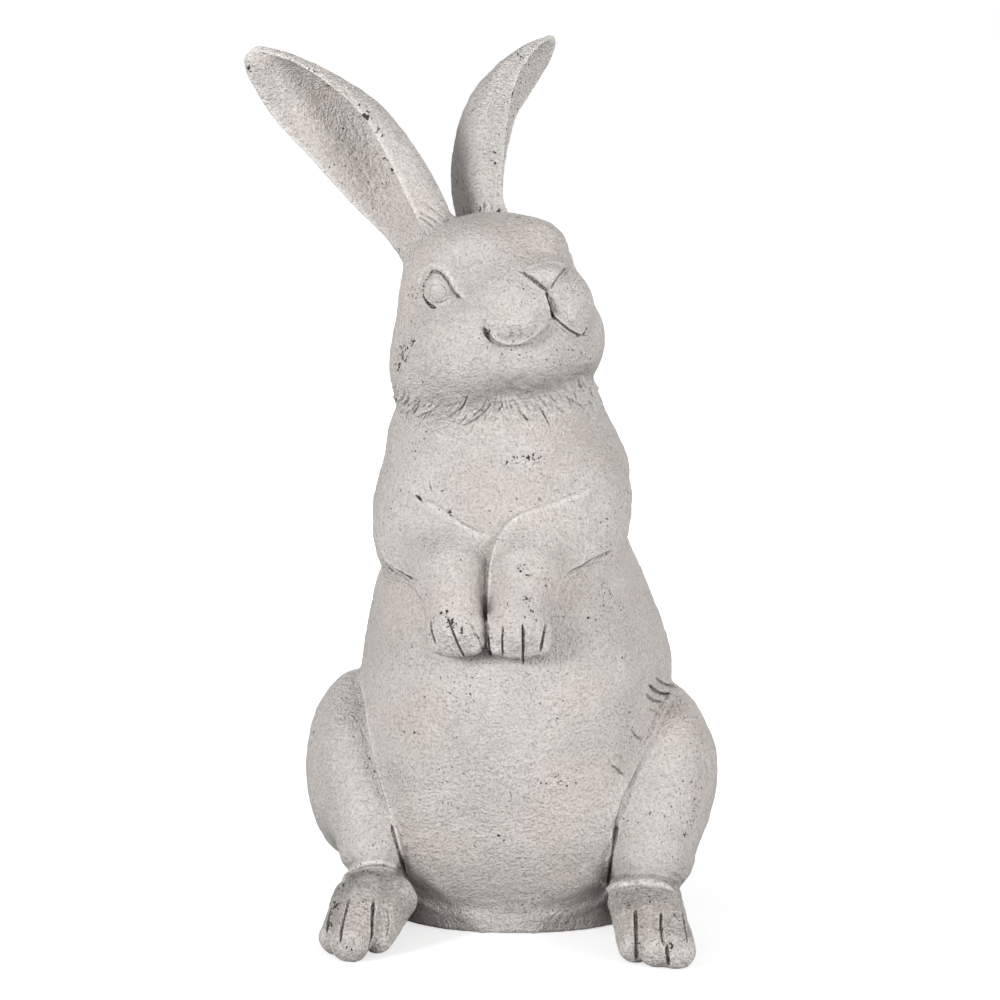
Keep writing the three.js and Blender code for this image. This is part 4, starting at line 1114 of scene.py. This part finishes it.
def casting(name, low, high, cell, operations, paint, wash_and_shade=1.0):
    """One casting: its part of the original's skin, cut along its seams, and painted."""
    low, high = np.array(low, float), np.array(high, float)
    points, quads = net(figure, low, high, cell)
    faces = np.concatenate((quads[:, (0, 1, 2)], quads[:, (0, 2, 3)]))
    for longest in EDGES_NEAR_LINES:
        points, faces = finer_near_lines(points, faces, NEAR_LINES, longest)
    border = OPEN_BORDER * cell
    on_skin = ((points > low + border) & (points < high - border)).all(1)
    on_skin &= points[:, 2] > GROUND_EDGE_HEIGHT
    distance, outward = surface_at(points[on_skin])
    settled = points[on_skin] - outward * np.clip(distance, -cell / 2, cell / 2)[:, None]
    raised = carving_at(settled, outward)[0] + relief(settled)
    points[on_skin] = settled + outward * raised[:, None]
    points[:, 2] = np.maximum(points[:, 2], 0)
    piece = mesh_object(f"{name}_casting", points, faces)
    cut(piece, operations)
    paint_masks(piece, wash_and_shade)
    piece.data.materials.clear()
    piece.data.materials.append(paint)
    piece.data.polygons.foreach_set("use_smooth", np.ones(len(piece.data.polygons), bool))
    piece.data.set_sharp_from_angle(angle=SHARP_EDGE)
    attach(piece, "root")
    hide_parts(name)


HOLLOW_REACHES = (
    # reach, share
    (4, 0.35), (8, 0.35), (15, 0.3),
)
# Painted shade: faces that look down, and places low down near the ground, are painted darker.
UNDERSIDE_PAINTED_SHADE = 0.8
LOW_PAINTED_SHADE = 0.56
LOW_SHADE_HEIGHT, LOW_SHADE_REACH = 36.0, 34.0
EDGE_SPAN = 3
EDGE_STRENGTH, EDGE_START = 2.2, 0.12
MOST_DIRT_AND_SHADE = 3


def paint_masks(piece, wash_and_shade):
    """Where dark wash and painted shade go, where edges are rubbed pale and carry painted highlights, where
    lines hold dirt and painted shade, and the chips.
    """
    mesh = piece.data
    flat, normals = np.zeros(len(mesh.vertices) * 3), np.zeros(len(mesh.vertices) * 3)
    mesh.vertices.foreach_get("co", flat)
    mesh.vertex_normals.foreach_get("vector", normals)
    outward = normals.reshape(-1, 3)
    p = flat.reshape(-1, 3) / MM
    ground = p - outward * roughly(p)[:, None]
    # How enclosed each place is: creases and recesses are painted darker, partly as wash and partly as
    # painted shade.
    enclosed = np.zeros(len(p))
    for reach, share in HOLLOW_REACHES:
        enclosed += share * np.clip(1 - roughly(ground + outward * reach) / reach, 0, 1)
    # Painted shade on faces that look down, and more of it low down near the ground.
    hollow = wash_and_shade * (enclosed + UNDERSIDE_PAINTED_SHADE * np.clip(-outward[:, 2] - 0.05, 0, 1))
    low_down = np.exp(-(((p[:, 2] - LOW_SHADE_HEIGHT) / LOW_SHADE_REACH) ** 2))
    hollow = np.maximum(hollow, LOW_PAINTED_SHADE * low_down)
    first = np.cross(outward, (0.3, 0.2, 0.93))
    first /= np.linalg.norm(first, axis=1)[:, None] + 1e-9
    second = np.cross(outward, first)
    bend = sum(
        roughly(ground + way * EDGE_SPAN) + roughly(ground - way * EDGE_SPAN) for way in (first, second)
    )
    _, dark, rubbed_edges_and_highlights = carving_at(ground, outward)
    ridge = np.clip(bend / EDGE_SPAN**2 * EDGE_STRENGTH - EDGE_START, 0, 1)
    chipped = np.zeros(len(p))
    for place, radius in chips:
        chipped = np.maximum(chipped, np.exp(-((p - place) ** 2).sum(1) / radius**2))
    # hollow holds wash and painted shade, ridge holds rubbed edges and painted highlights, the line
    # attribute holds dirt and painted shade, chip holds the chips.
    for label, values in (
        ("hollow", hollow),
        ("ridge", np.clip(np.maximum(ridge, rubbed_edges_and_highlights), 0, 1)),
        ("dirt_and_shade", np.clip(dark, 0, MOST_DIRT_AND_SHADE)),
        ("chip", chipped),
    ):
        attribute = mesh.attributes.new(label, "FLOAT", "POINT")
        attribute.data.foreach_set("value", values.astype(np.float32))


# Finish of all castings: pale grey stone paint over dark resin. A darker grey is painted into
# hollows, creases and lines, on faces that look down and low down, partly as a wash and partly as
# painted shade; edges are rubbed pale and given painted highlights, and the paint is chipped in places
# down to the dark ground. Sand in the paint gives it a rough grain with small dark pits, and its low
# places are painted darker and its tops paler, partly as painted shade and highlight.


def shade(red, green, blue):
    """A colour as seen on a screen, from 0 to 255, as the shader's own values."""
    return (*[((c / 255 + 0.055) / 1.055) ** 2.4 for c in (red, green, blue)], 1)


def node(tree, kind, inputs=None, **settings):
    """A shader node with its settings, and with its inputs linked or set."""
    made = tree.nodes.new(kind)
    for key, value in settings.items():
        setattr(made, key, value)
    for key, value in (inputs or {}).items():
        if isinstance(value, bpy.types.NodeSocket):
            tree.links.new(value, made.inputs[key])
        else:
            made.inputs[key].default_value = value
    return made


def group(name, inputs, outputs):
    """An empty node group, with the sockets that lead into it and out of it."""
    tree = bpy.data.node_groups.new(name, "ShaderNodeTree")
    for label, kind, value in inputs:
        socket = tree.interface.new_socket(label, in_out="INPUT", socket_type=kind)
        if value is not None:
            socket.default_value = value
    for label, kind in outputs:
        tree.interface.new_socket(label, in_out="OUTPUT", socket_type=kind)
    return tree, tree.nodes.new("NodeGroupInput").outputs, tree.nodes.new("NodeGroupOutput").inputs


def placed_group(tree, shared, inputs):
    return node(tree, "ShaderNodeGroup", inputs, node_tree=shared).outputs


def math_node(tree, operation, first, second=0.0):
    return node(tree, "ShaderNodeMath", {0: first, 1: second}, operation=operation).outputs[0]


def ramp(tree, value, low, high, to_low=0.0, to_high=1.0, kind="SMOOTHSTEP"):
    """A value that goes from one level to another while its source goes from low to high."""
    inputs = {"Value": value, "From Min": low, "From Max": high, "To Min": to_low, "To Max": to_high}
    return node(tree, "ShaderNodeMapRange", inputs, interpolation_type=kind).outputs["Result"]


def noise(tree, place, size, detail=2.0, rough=0.5):
    inputs = {"Vector": place, "Scale": 1 / (size * MM), "Detail": detail, "Roughness": rough}
    return node(tree, "ShaderNodeTexNoise", inputs, noise_dimensions="3D").outputs["Fac"]


def mix(tree, share, first, second):
    inputs = {"Factor": share, 6: first, 7: second}
    return node(tree, "ShaderNodeMix", inputs, data_type="RGBA").outputs[2]


def painted_material(name):
    """A new material, its node tree, its surface shader, and the place on the piece."""
    material = bpy.data.materials.new(name)
    material.use_nodes = True
    tree = material.node_tree
    return material, tree, tree.nodes["Principled BSDF"], node(tree, "ShaderNodeTexCoord").outputs["Object"]


sand_group, sand_in, sand_out = group(
    "sanded paint",
    (("Place", "NodeSocketVector", None), ("Grain size", "NodeSocketFloat", 1.3)),
    (("Height", "NodeSocketFloat"), ("Tone", "NodeSocketFloat")),
)
sand_scale = math_node(sand_group, "DIVIDE", 1 / MM, sand_in["Grain size"])
coarse_scale = math_node(sand_group, "MULTIPLY", sand_scale, 0.4)
fine_sand, coarse_sand = (
    node(
        sand_group, "ShaderNodeTexNoise",
        {"Vector": sand_in["Place"], "Scale": scale, "Detail": detail, "Roughness": rough},
    ).outputs["Fac"]
    for scale, detail, rough in ((sand_scale, 2.0, 0.6), (coarse_scale, 1.0, 0.5))
)
sand_height = math_node(sand_group, "ADD", fine_sand, math_node(sand_group, "MULTIPLY", coarse_sand, 0.7))
sand_group.links.new(sand_height, sand_out["Height"])
sand_group.links.new(ramp(sand_group, fine_sand, 0.22, 0.78, kind="LINEAR"), sand_out["Tone"])

chip_group, chip_in, chip_out = group(
    "chipped paint",
    (
        ("Place", "NodeSocketVector", None),
        ("Chipped places", "NodeSocketFloat", 0.0),
        ("Amount", "NodeSocketFloat", 0.1),
    ),
    (("Chips", "NodeSocketFloat"),),
)
crumbs = noise(chip_group, chip_in["Place"], 1.5, 1.0, 0.5)
chip_fields = ramp(chip_group, noise(chip_group, chip_in["Place"], 26, 2.0), 0.45, 0.72)
chip_shape = crumbs
for share, amount in ((chip_in["Chipped places"], 0.25), (chip_fields, chip_in["Amount"])):
    more = math_node(chip_group, "MULTIPLY", share, amount)
    chip_shape = math_node(chip_group, "ADD", chip_shape, more)
chip_group.links.new(ramp(chip_group, chip_shape, 0.755, 0.79), chip_out["Chips"])

WARM_PAINT = shade(211, 199, 191)
# Sand colours: low grain painted darker and grain tops paler, partly the paint's speckle and partly painted
# shade and highlight of the grain.
SAND_PITS_AND_SHADE, SAND_TOPS_AND_HIGHLIGHT = shade(120, 116, 112), shade(238, 235, 231)
# Dark grey for the wash and the painted shade; pale grey for rubbed edges and painted highlights.
DARK_WASH_AND_SHADE, RUBBED_PAINT_AND_HIGHLIGHT = shade(122, 118, 114), shade(240, 237, 232)
# Dark grey and near black: dirt in lines, and painted shade in deep cuts and under ledges.
DIRT_AND_SHADE_IN_LINES, DEEP_DIRT_AND_SHADE, BARE_RESIN = shade(66, 62, 60), shade(14, 13, 12), shade(72, 68, 66)
CLOUD_SIZE, WARM_CLOUD_SIZE = 34, 50


def stone_finish(name, grain_size, grain_height, grain_tone, chip_amount, light, dark):
    """Stone paint between a light and a dark grey, with its grain and its amount of small chips."""
    material, tree, surface, place = painted_material(name)
    hollow, ridge, dirt_and_shade, chip = (
        node(tree, "ShaderNodeAttribute", attribute_name=label).outputs["Fac"]
        for label in ("hollow", "ridge", "dirt_and_shade", "chip")
    )
    sand = placed_group(tree, sand_group, {"Place": place, "Grain size": grain_size})
    chip_inputs = {"Place": place, "Chipped places": chip, "Amount": chip_amount}
    bare = placed_group(tree, chip_group, chip_inputs)["Chips"]
    clouds = noise(tree, place, CLOUD_SIZE, 4.0, 0.6)
    elsewhere = node(tree, "ShaderNodeVectorMath", {0: place, 1: (0.31, 0.17, 0.05)}).outputs[0]
    warm_clouds = noise(tree, elsewhere, WARM_CLOUD_SIZE, 3.0)
    rubbed_and_highlit = math_node(tree, "MULTIPLY", ridge, ramp(tree, sand["Tone"], 0.1, 0.7, 0.4, 0.95))
    paint = mix(tree, ramp(tree, clouds, 0.3, 0.7), dark, light)
    # Over the paint: warm clouds, darker low grain and paler grain tops (partly painted shade and
    # highlight), wash and painted shade, rubbed edges and painted highlights, dirt and painted shade in
    # lines, and bare chips.
    for share, colour in (
        (ramp(tree, warm_clouds, 0.42, 0.64, 0, 0.5), WARM_PAINT),
        (ramp(tree, sand["Tone"], 0.1, 0.6, grain_tone, 0), SAND_PITS_AND_SHADE),
        (ramp(tree, sand["Tone"], 0.5, 1, 0, grain_tone), SAND_TOPS_AND_HIGHLIGHT),
        (ramp(tree, hollow, 0.32, 1.0, 0, 0.8), DARK_WASH_AND_SHADE),
        (rubbed_and_highlit, RUBBED_PAINT_AND_HIGHLIGHT),
        (ramp(tree, dirt_and_shade, 0.12, 1.5, 0, 0.9), DIRT_AND_SHADE_IN_LINES),
        (ramp(tree, dirt_and_shade, 1.2, 3.0), DEEP_DIRT_AND_SHADE),
        (bare, BARE_RESIN),
    ):
        paint = mix(tree, share, paint, colour)
    tree.links.new(paint, surface.inputs["Base Color"])
    tree.links.new(ramp(tree, sand["Tone"], 0, 1, 0.94, 0.82), surface.inputs["Roughness"])
    surface.inputs["Specular IOR Level"].default_value = 0.25
    height = math_node(tree, "SUBTRACT", sand["Height"], math_node(tree, "MULTIPLY", bare, 0.5))
    bump = node(tree, "ShaderNodeBump", {"Height": height, "Distance": grain_height * MM, "Strength": 1.0})
    tree.links.new(bump.outputs["Normal"], surface.inputs["Normal"])
    return material


stone = stone_finish("stone_paint", 1.3, 2.4, 0.36, 0.09, shade(214, 208, 204), shade(199, 194, 190))

# Body casting: the chest, belly and back, and the foot that the figurine stands on. It is the
# largest casting, poured hollow in resin with stone powder, and carries all other castings.

BODY_CELL = 1.9


def leave(*names):
    """The cuts that give these forms to their own castings."""
    return [("DIFFERENCE", seams[name]) for name in names]


limbs = [f"{part}_{word}" for part in ("foreleg", "hind_leg", "hind_foot") for word in ("left", "right")]
casting("body_shell", (-92, -102, -6), (92, 94, 312), BODY_CELL, leave("head", "tail", *limbs), stone)

# Head casting: cast solid in the same resin, with a socket that is bonded over the body's neck, and
# a bore for the rod of each ear.

HEAD_CELL, HEAD_SPAN = 0.85, 82


def keep(name):
    """The cut that leaves only this form in its casting."""
    return [("INTERSECT", seams[name])]


casting(
    "head", HEAD_CENTRE - HEAD_SPAN, HEAD_CENTRE + HEAD_SPAN, HEAD_CELL,
    keep("head") + leave("ear_left", "ear_right"), stone,
)

# Ear castings: slender scoops of the same resin. Each is set on a steel rod that stands in the head,
# and its open hollow is given less of the dark wash and painted shade.

EAR_CELL, EAR_WASH_AND_SHADE = 0.85, 0.15
for word, low, high in (
    ("left", (-50, -30, 330), (35, 92, 472)),
    ("right", (-148, -50, 330), (-20, 22, 466)),
):
    casting(f"ear_{word}", low, high, EAR_CELL, keep(f"ear_{word}"), stone, EAR_WASH_AND_SHADE)

# Foreleg castings: arm and paw in one, of the same resin. Each is bonded to the chest on a short
# resin dowel.

FORELEG_CELL = 0.8
for word, low, high in (
    ("left", (-18, -124, 144), (72, 2, 252)),
    ("right", (-86, -124, 144), (-4, 2, 252)),
):
    casting(f"foreleg_{word}", low, high, FORELEG_CELL, keep(f"foreleg_{word}"), stone)

# Hind leg castings: haunch and shank in one, of the same resin. Each is bonded to the flank on a
# resin dowel.

HIND_LEG_CELL = 1.15
for word, side in (("left", LEFT), ("right", RIGHT)):
    near, far = sorted((side * 36, side * 112))
    seam_cuts = keep(f"hind_leg_{word}") + leave(f"hind_foot_{word}")
    casting(f"hind_leg_{word}", (near, -98, -6), (far, 60, 138), HIND_LEG_CELL, seam_cuts, stone)

# Hind foot castings: the feet that stand on the ground, of the same resin, bonded under the ankles
# on resin dowels. They are coloured darker than elsewhere, with a coarser grain and more chips.

rough_stone = stone_finish(
    "stone_paint_on_feet", 1.5, 2.3, 0.6, 0.16, shade(194, 188, 183), shade(138, 133, 129)
)
HIND_FOOT_CELL = 0.8
for word, side in (("left", LEFT), ("right", RIGHT)):
    near, far = sorted((side * 42, side * 100))
    seam_cuts = keep(f"hind_foot_{word}")
    casting(f"hind_foot_{word}", (near, -140, -6), (far, 0, 52), HIND_FOOT_CELL, seam_cuts, rough_stone)

# Tail casting: a small tuft of the same resin, low on the back and bonded on a resin dowel. With
# it all castings are cut, and the tools that cut the seams are taken away.

casting("tail", (-28, 58, 4), (28, 110, 64), 1.0, keep("tail"), stone)
for tool in seams.values():
    bpy.data.objects.remove(tool)

# Base plate and dowels: the plate closes the body from below, and the dowels stand inside the
# castings. They are plain cast resin, and keep their solids from the frame.

plain_resin, resin_tree, resin_surface, resin_place = painted_material("plain_resin")
resin_sand = placed_group(resin_tree, sand_group, {"Place": resin_place, "Grain size": 1.8})
resin_pits = ramp(resin_tree, resin_sand["Tone"], 0, 1, 0.3, 0)
resin_colour = mix(resin_tree, resin_pits, shade(176, 172, 166), shade(120, 116, 111))
resin_tree.links.new(resin_colour, resin_surface.inputs["Base Color"])
resin_surface.inputs["Roughness"].default_value = 0.85
resin_bump = node(resin_tree, "ShaderNodeBump", {"Height": resin_sand["Height"], "Distance": 0.2 * MM})
resin_tree.links.new(resin_bump.outputs["Normal"], resin_surface.inputs["Normal"])


def cover(part, material):
    """Gives a material to the frame's solids that have this word in their names."""
    for name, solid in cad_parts.items():
        if part in name:
            solid.data.materials.clear()
            solid.data.materials.append(material)


cover("base_plate", plain_resin)
cover("dowel", plain_resin)

# Ear rods: drawn steel, cut to length, bonded into the head and into each ear. They keep their
# solids from the frame.

drawn_steel, steel_tree, steel_surface, steel_place = painted_material("drawn_steel")
steel_marks = noise(steel_tree, steel_place, 2.5, 4.0, 0.7)
steel_colour = mix(steel_tree, steel_marks, shade(150, 152, 155), shade(104, 101, 98))
steel_tree.links.new(steel_colour, steel_surface.inputs["Base Color"])
steel_tree.links.new(ramp(steel_tree, steel_marks, 0.2, 0.8, 0.3, 0.6), steel_surface.inputs["Roughness"])
steel_surface.inputs["Metallic"].default_value = 0.9
cover("ear_rod", drawn_steel)

# Stage: a plain white floor that fades into the white surround, with two soft lamps in front of the
# figurine and one behind it. It is no part of the figurine.

FLOOR_HALF = 6.0
FLOOR_SHADE, FLOOR_GLOW_NEAR, FLOOR_GLOW_FAR = 0.5, 0.66, 1.0
GLOW_FROM, GLOW_TO = 0.08, 0.55
floor_corners = [(FLOOR_HALF * x, FLOOR_HALF * y, 0) for x, y in ((-1, -1), (1, -1), (1, 1), (-1, 1))]
floor_mesh = bpy.data.meshes.new("floor")
floor_mesh.from_pydata(floor_corners, [], [(0, 1, 2, 3)])
floor = bpy.data.objects.new("floor", floor_mesh)
bpy.context.scene.collection.objects.link(floor)
floor_paint, floor_tree, floor_surface, floor_place = painted_material("floor_paint")
for label, value in (
    ("Base Color", (FLOOR_SHADE, FLOOR_SHADE, FLOOR_SHADE, 1)),
    ("Roughness", 0.9),
    ("Specular IOR Level", 0.0),
    ("Emission Color", (1, 1, 1, 1)),
):
    floor_surface.inputs[label].default_value = value
floor_length = node(floor_tree, "ShaderNodeVectorMath", {0: floor_place}, operation="LENGTH")
floor_distance = floor_length.outputs["Value"]
floor_seen = node(floor_tree, "ShaderNodeLightPath").outputs["Is Camera Ray"]
floor_fade = ramp(floor_tree, floor_distance, GLOW_FROM, GLOW_TO, FLOOR_GLOW_NEAR, FLOOR_GLOW_FAR)
floor_glow = math_node(floor_tree, "MULTIPLY", floor_seen, floor_fade)
floor_tree.links.new(floor_glow, floor_surface.inputs["Emission Strength"])
floor_mesh.materials.append(floor_paint)

LIGHT_AIM = (0, 0, 0.22)


def soft_light(name, place, size, power):
    light_data = bpy.data.lights.new(name, "AREA")
    light_data.shape = "DISK"
    light_data.size = size
    light_data.energy = power
    light = bpy.data.objects.new(name, light_data)
    bpy.context.scene.collection.objects.link(light)
    light.location = place
    light.rotation_mode = "QUATERNION"
    light.rotation_quaternion = (Vector(LIGHT_AIM) - Vector(place)).to_track_quat("-Z", "Y")


soft_light("key", (-1.85, -1.95, 1.05), 0.8, 61)
soft_light("fill", (2.1, -1.75, 0.7), 1.0, 52)
soft_light("back", (0.2, 2.4, 0.9), 1.2, 30)

WORLD_LIGHT, WORLD_SEEN = 0.37, 1.0
world = bpy.data.worlds.new("surround")
bpy.context.scene.world = world
world.use_nodes = True
world_tree = world.node_tree
background = world_tree.nodes["Background"]
background.inputs["Color"].default_value = (1, 1, 1, 1)
world_seen = node(world_tree, "ShaderNodeLightPath")
seen_white = math_node(
    world_tree, "MAXIMUM", world_seen.outputs["Is Camera Ray"], world_seen.outputs["Is Glossy Ray"]
)
world_strength = ramp(world_tree, seen_white, 0, 1, WORLD_LIGHT, WORLD_SEEN)
world_tree.links.new(world_strength, background.inputs["Strength"])
bpy.context.scene.view_settings.view_transform = "Standard"
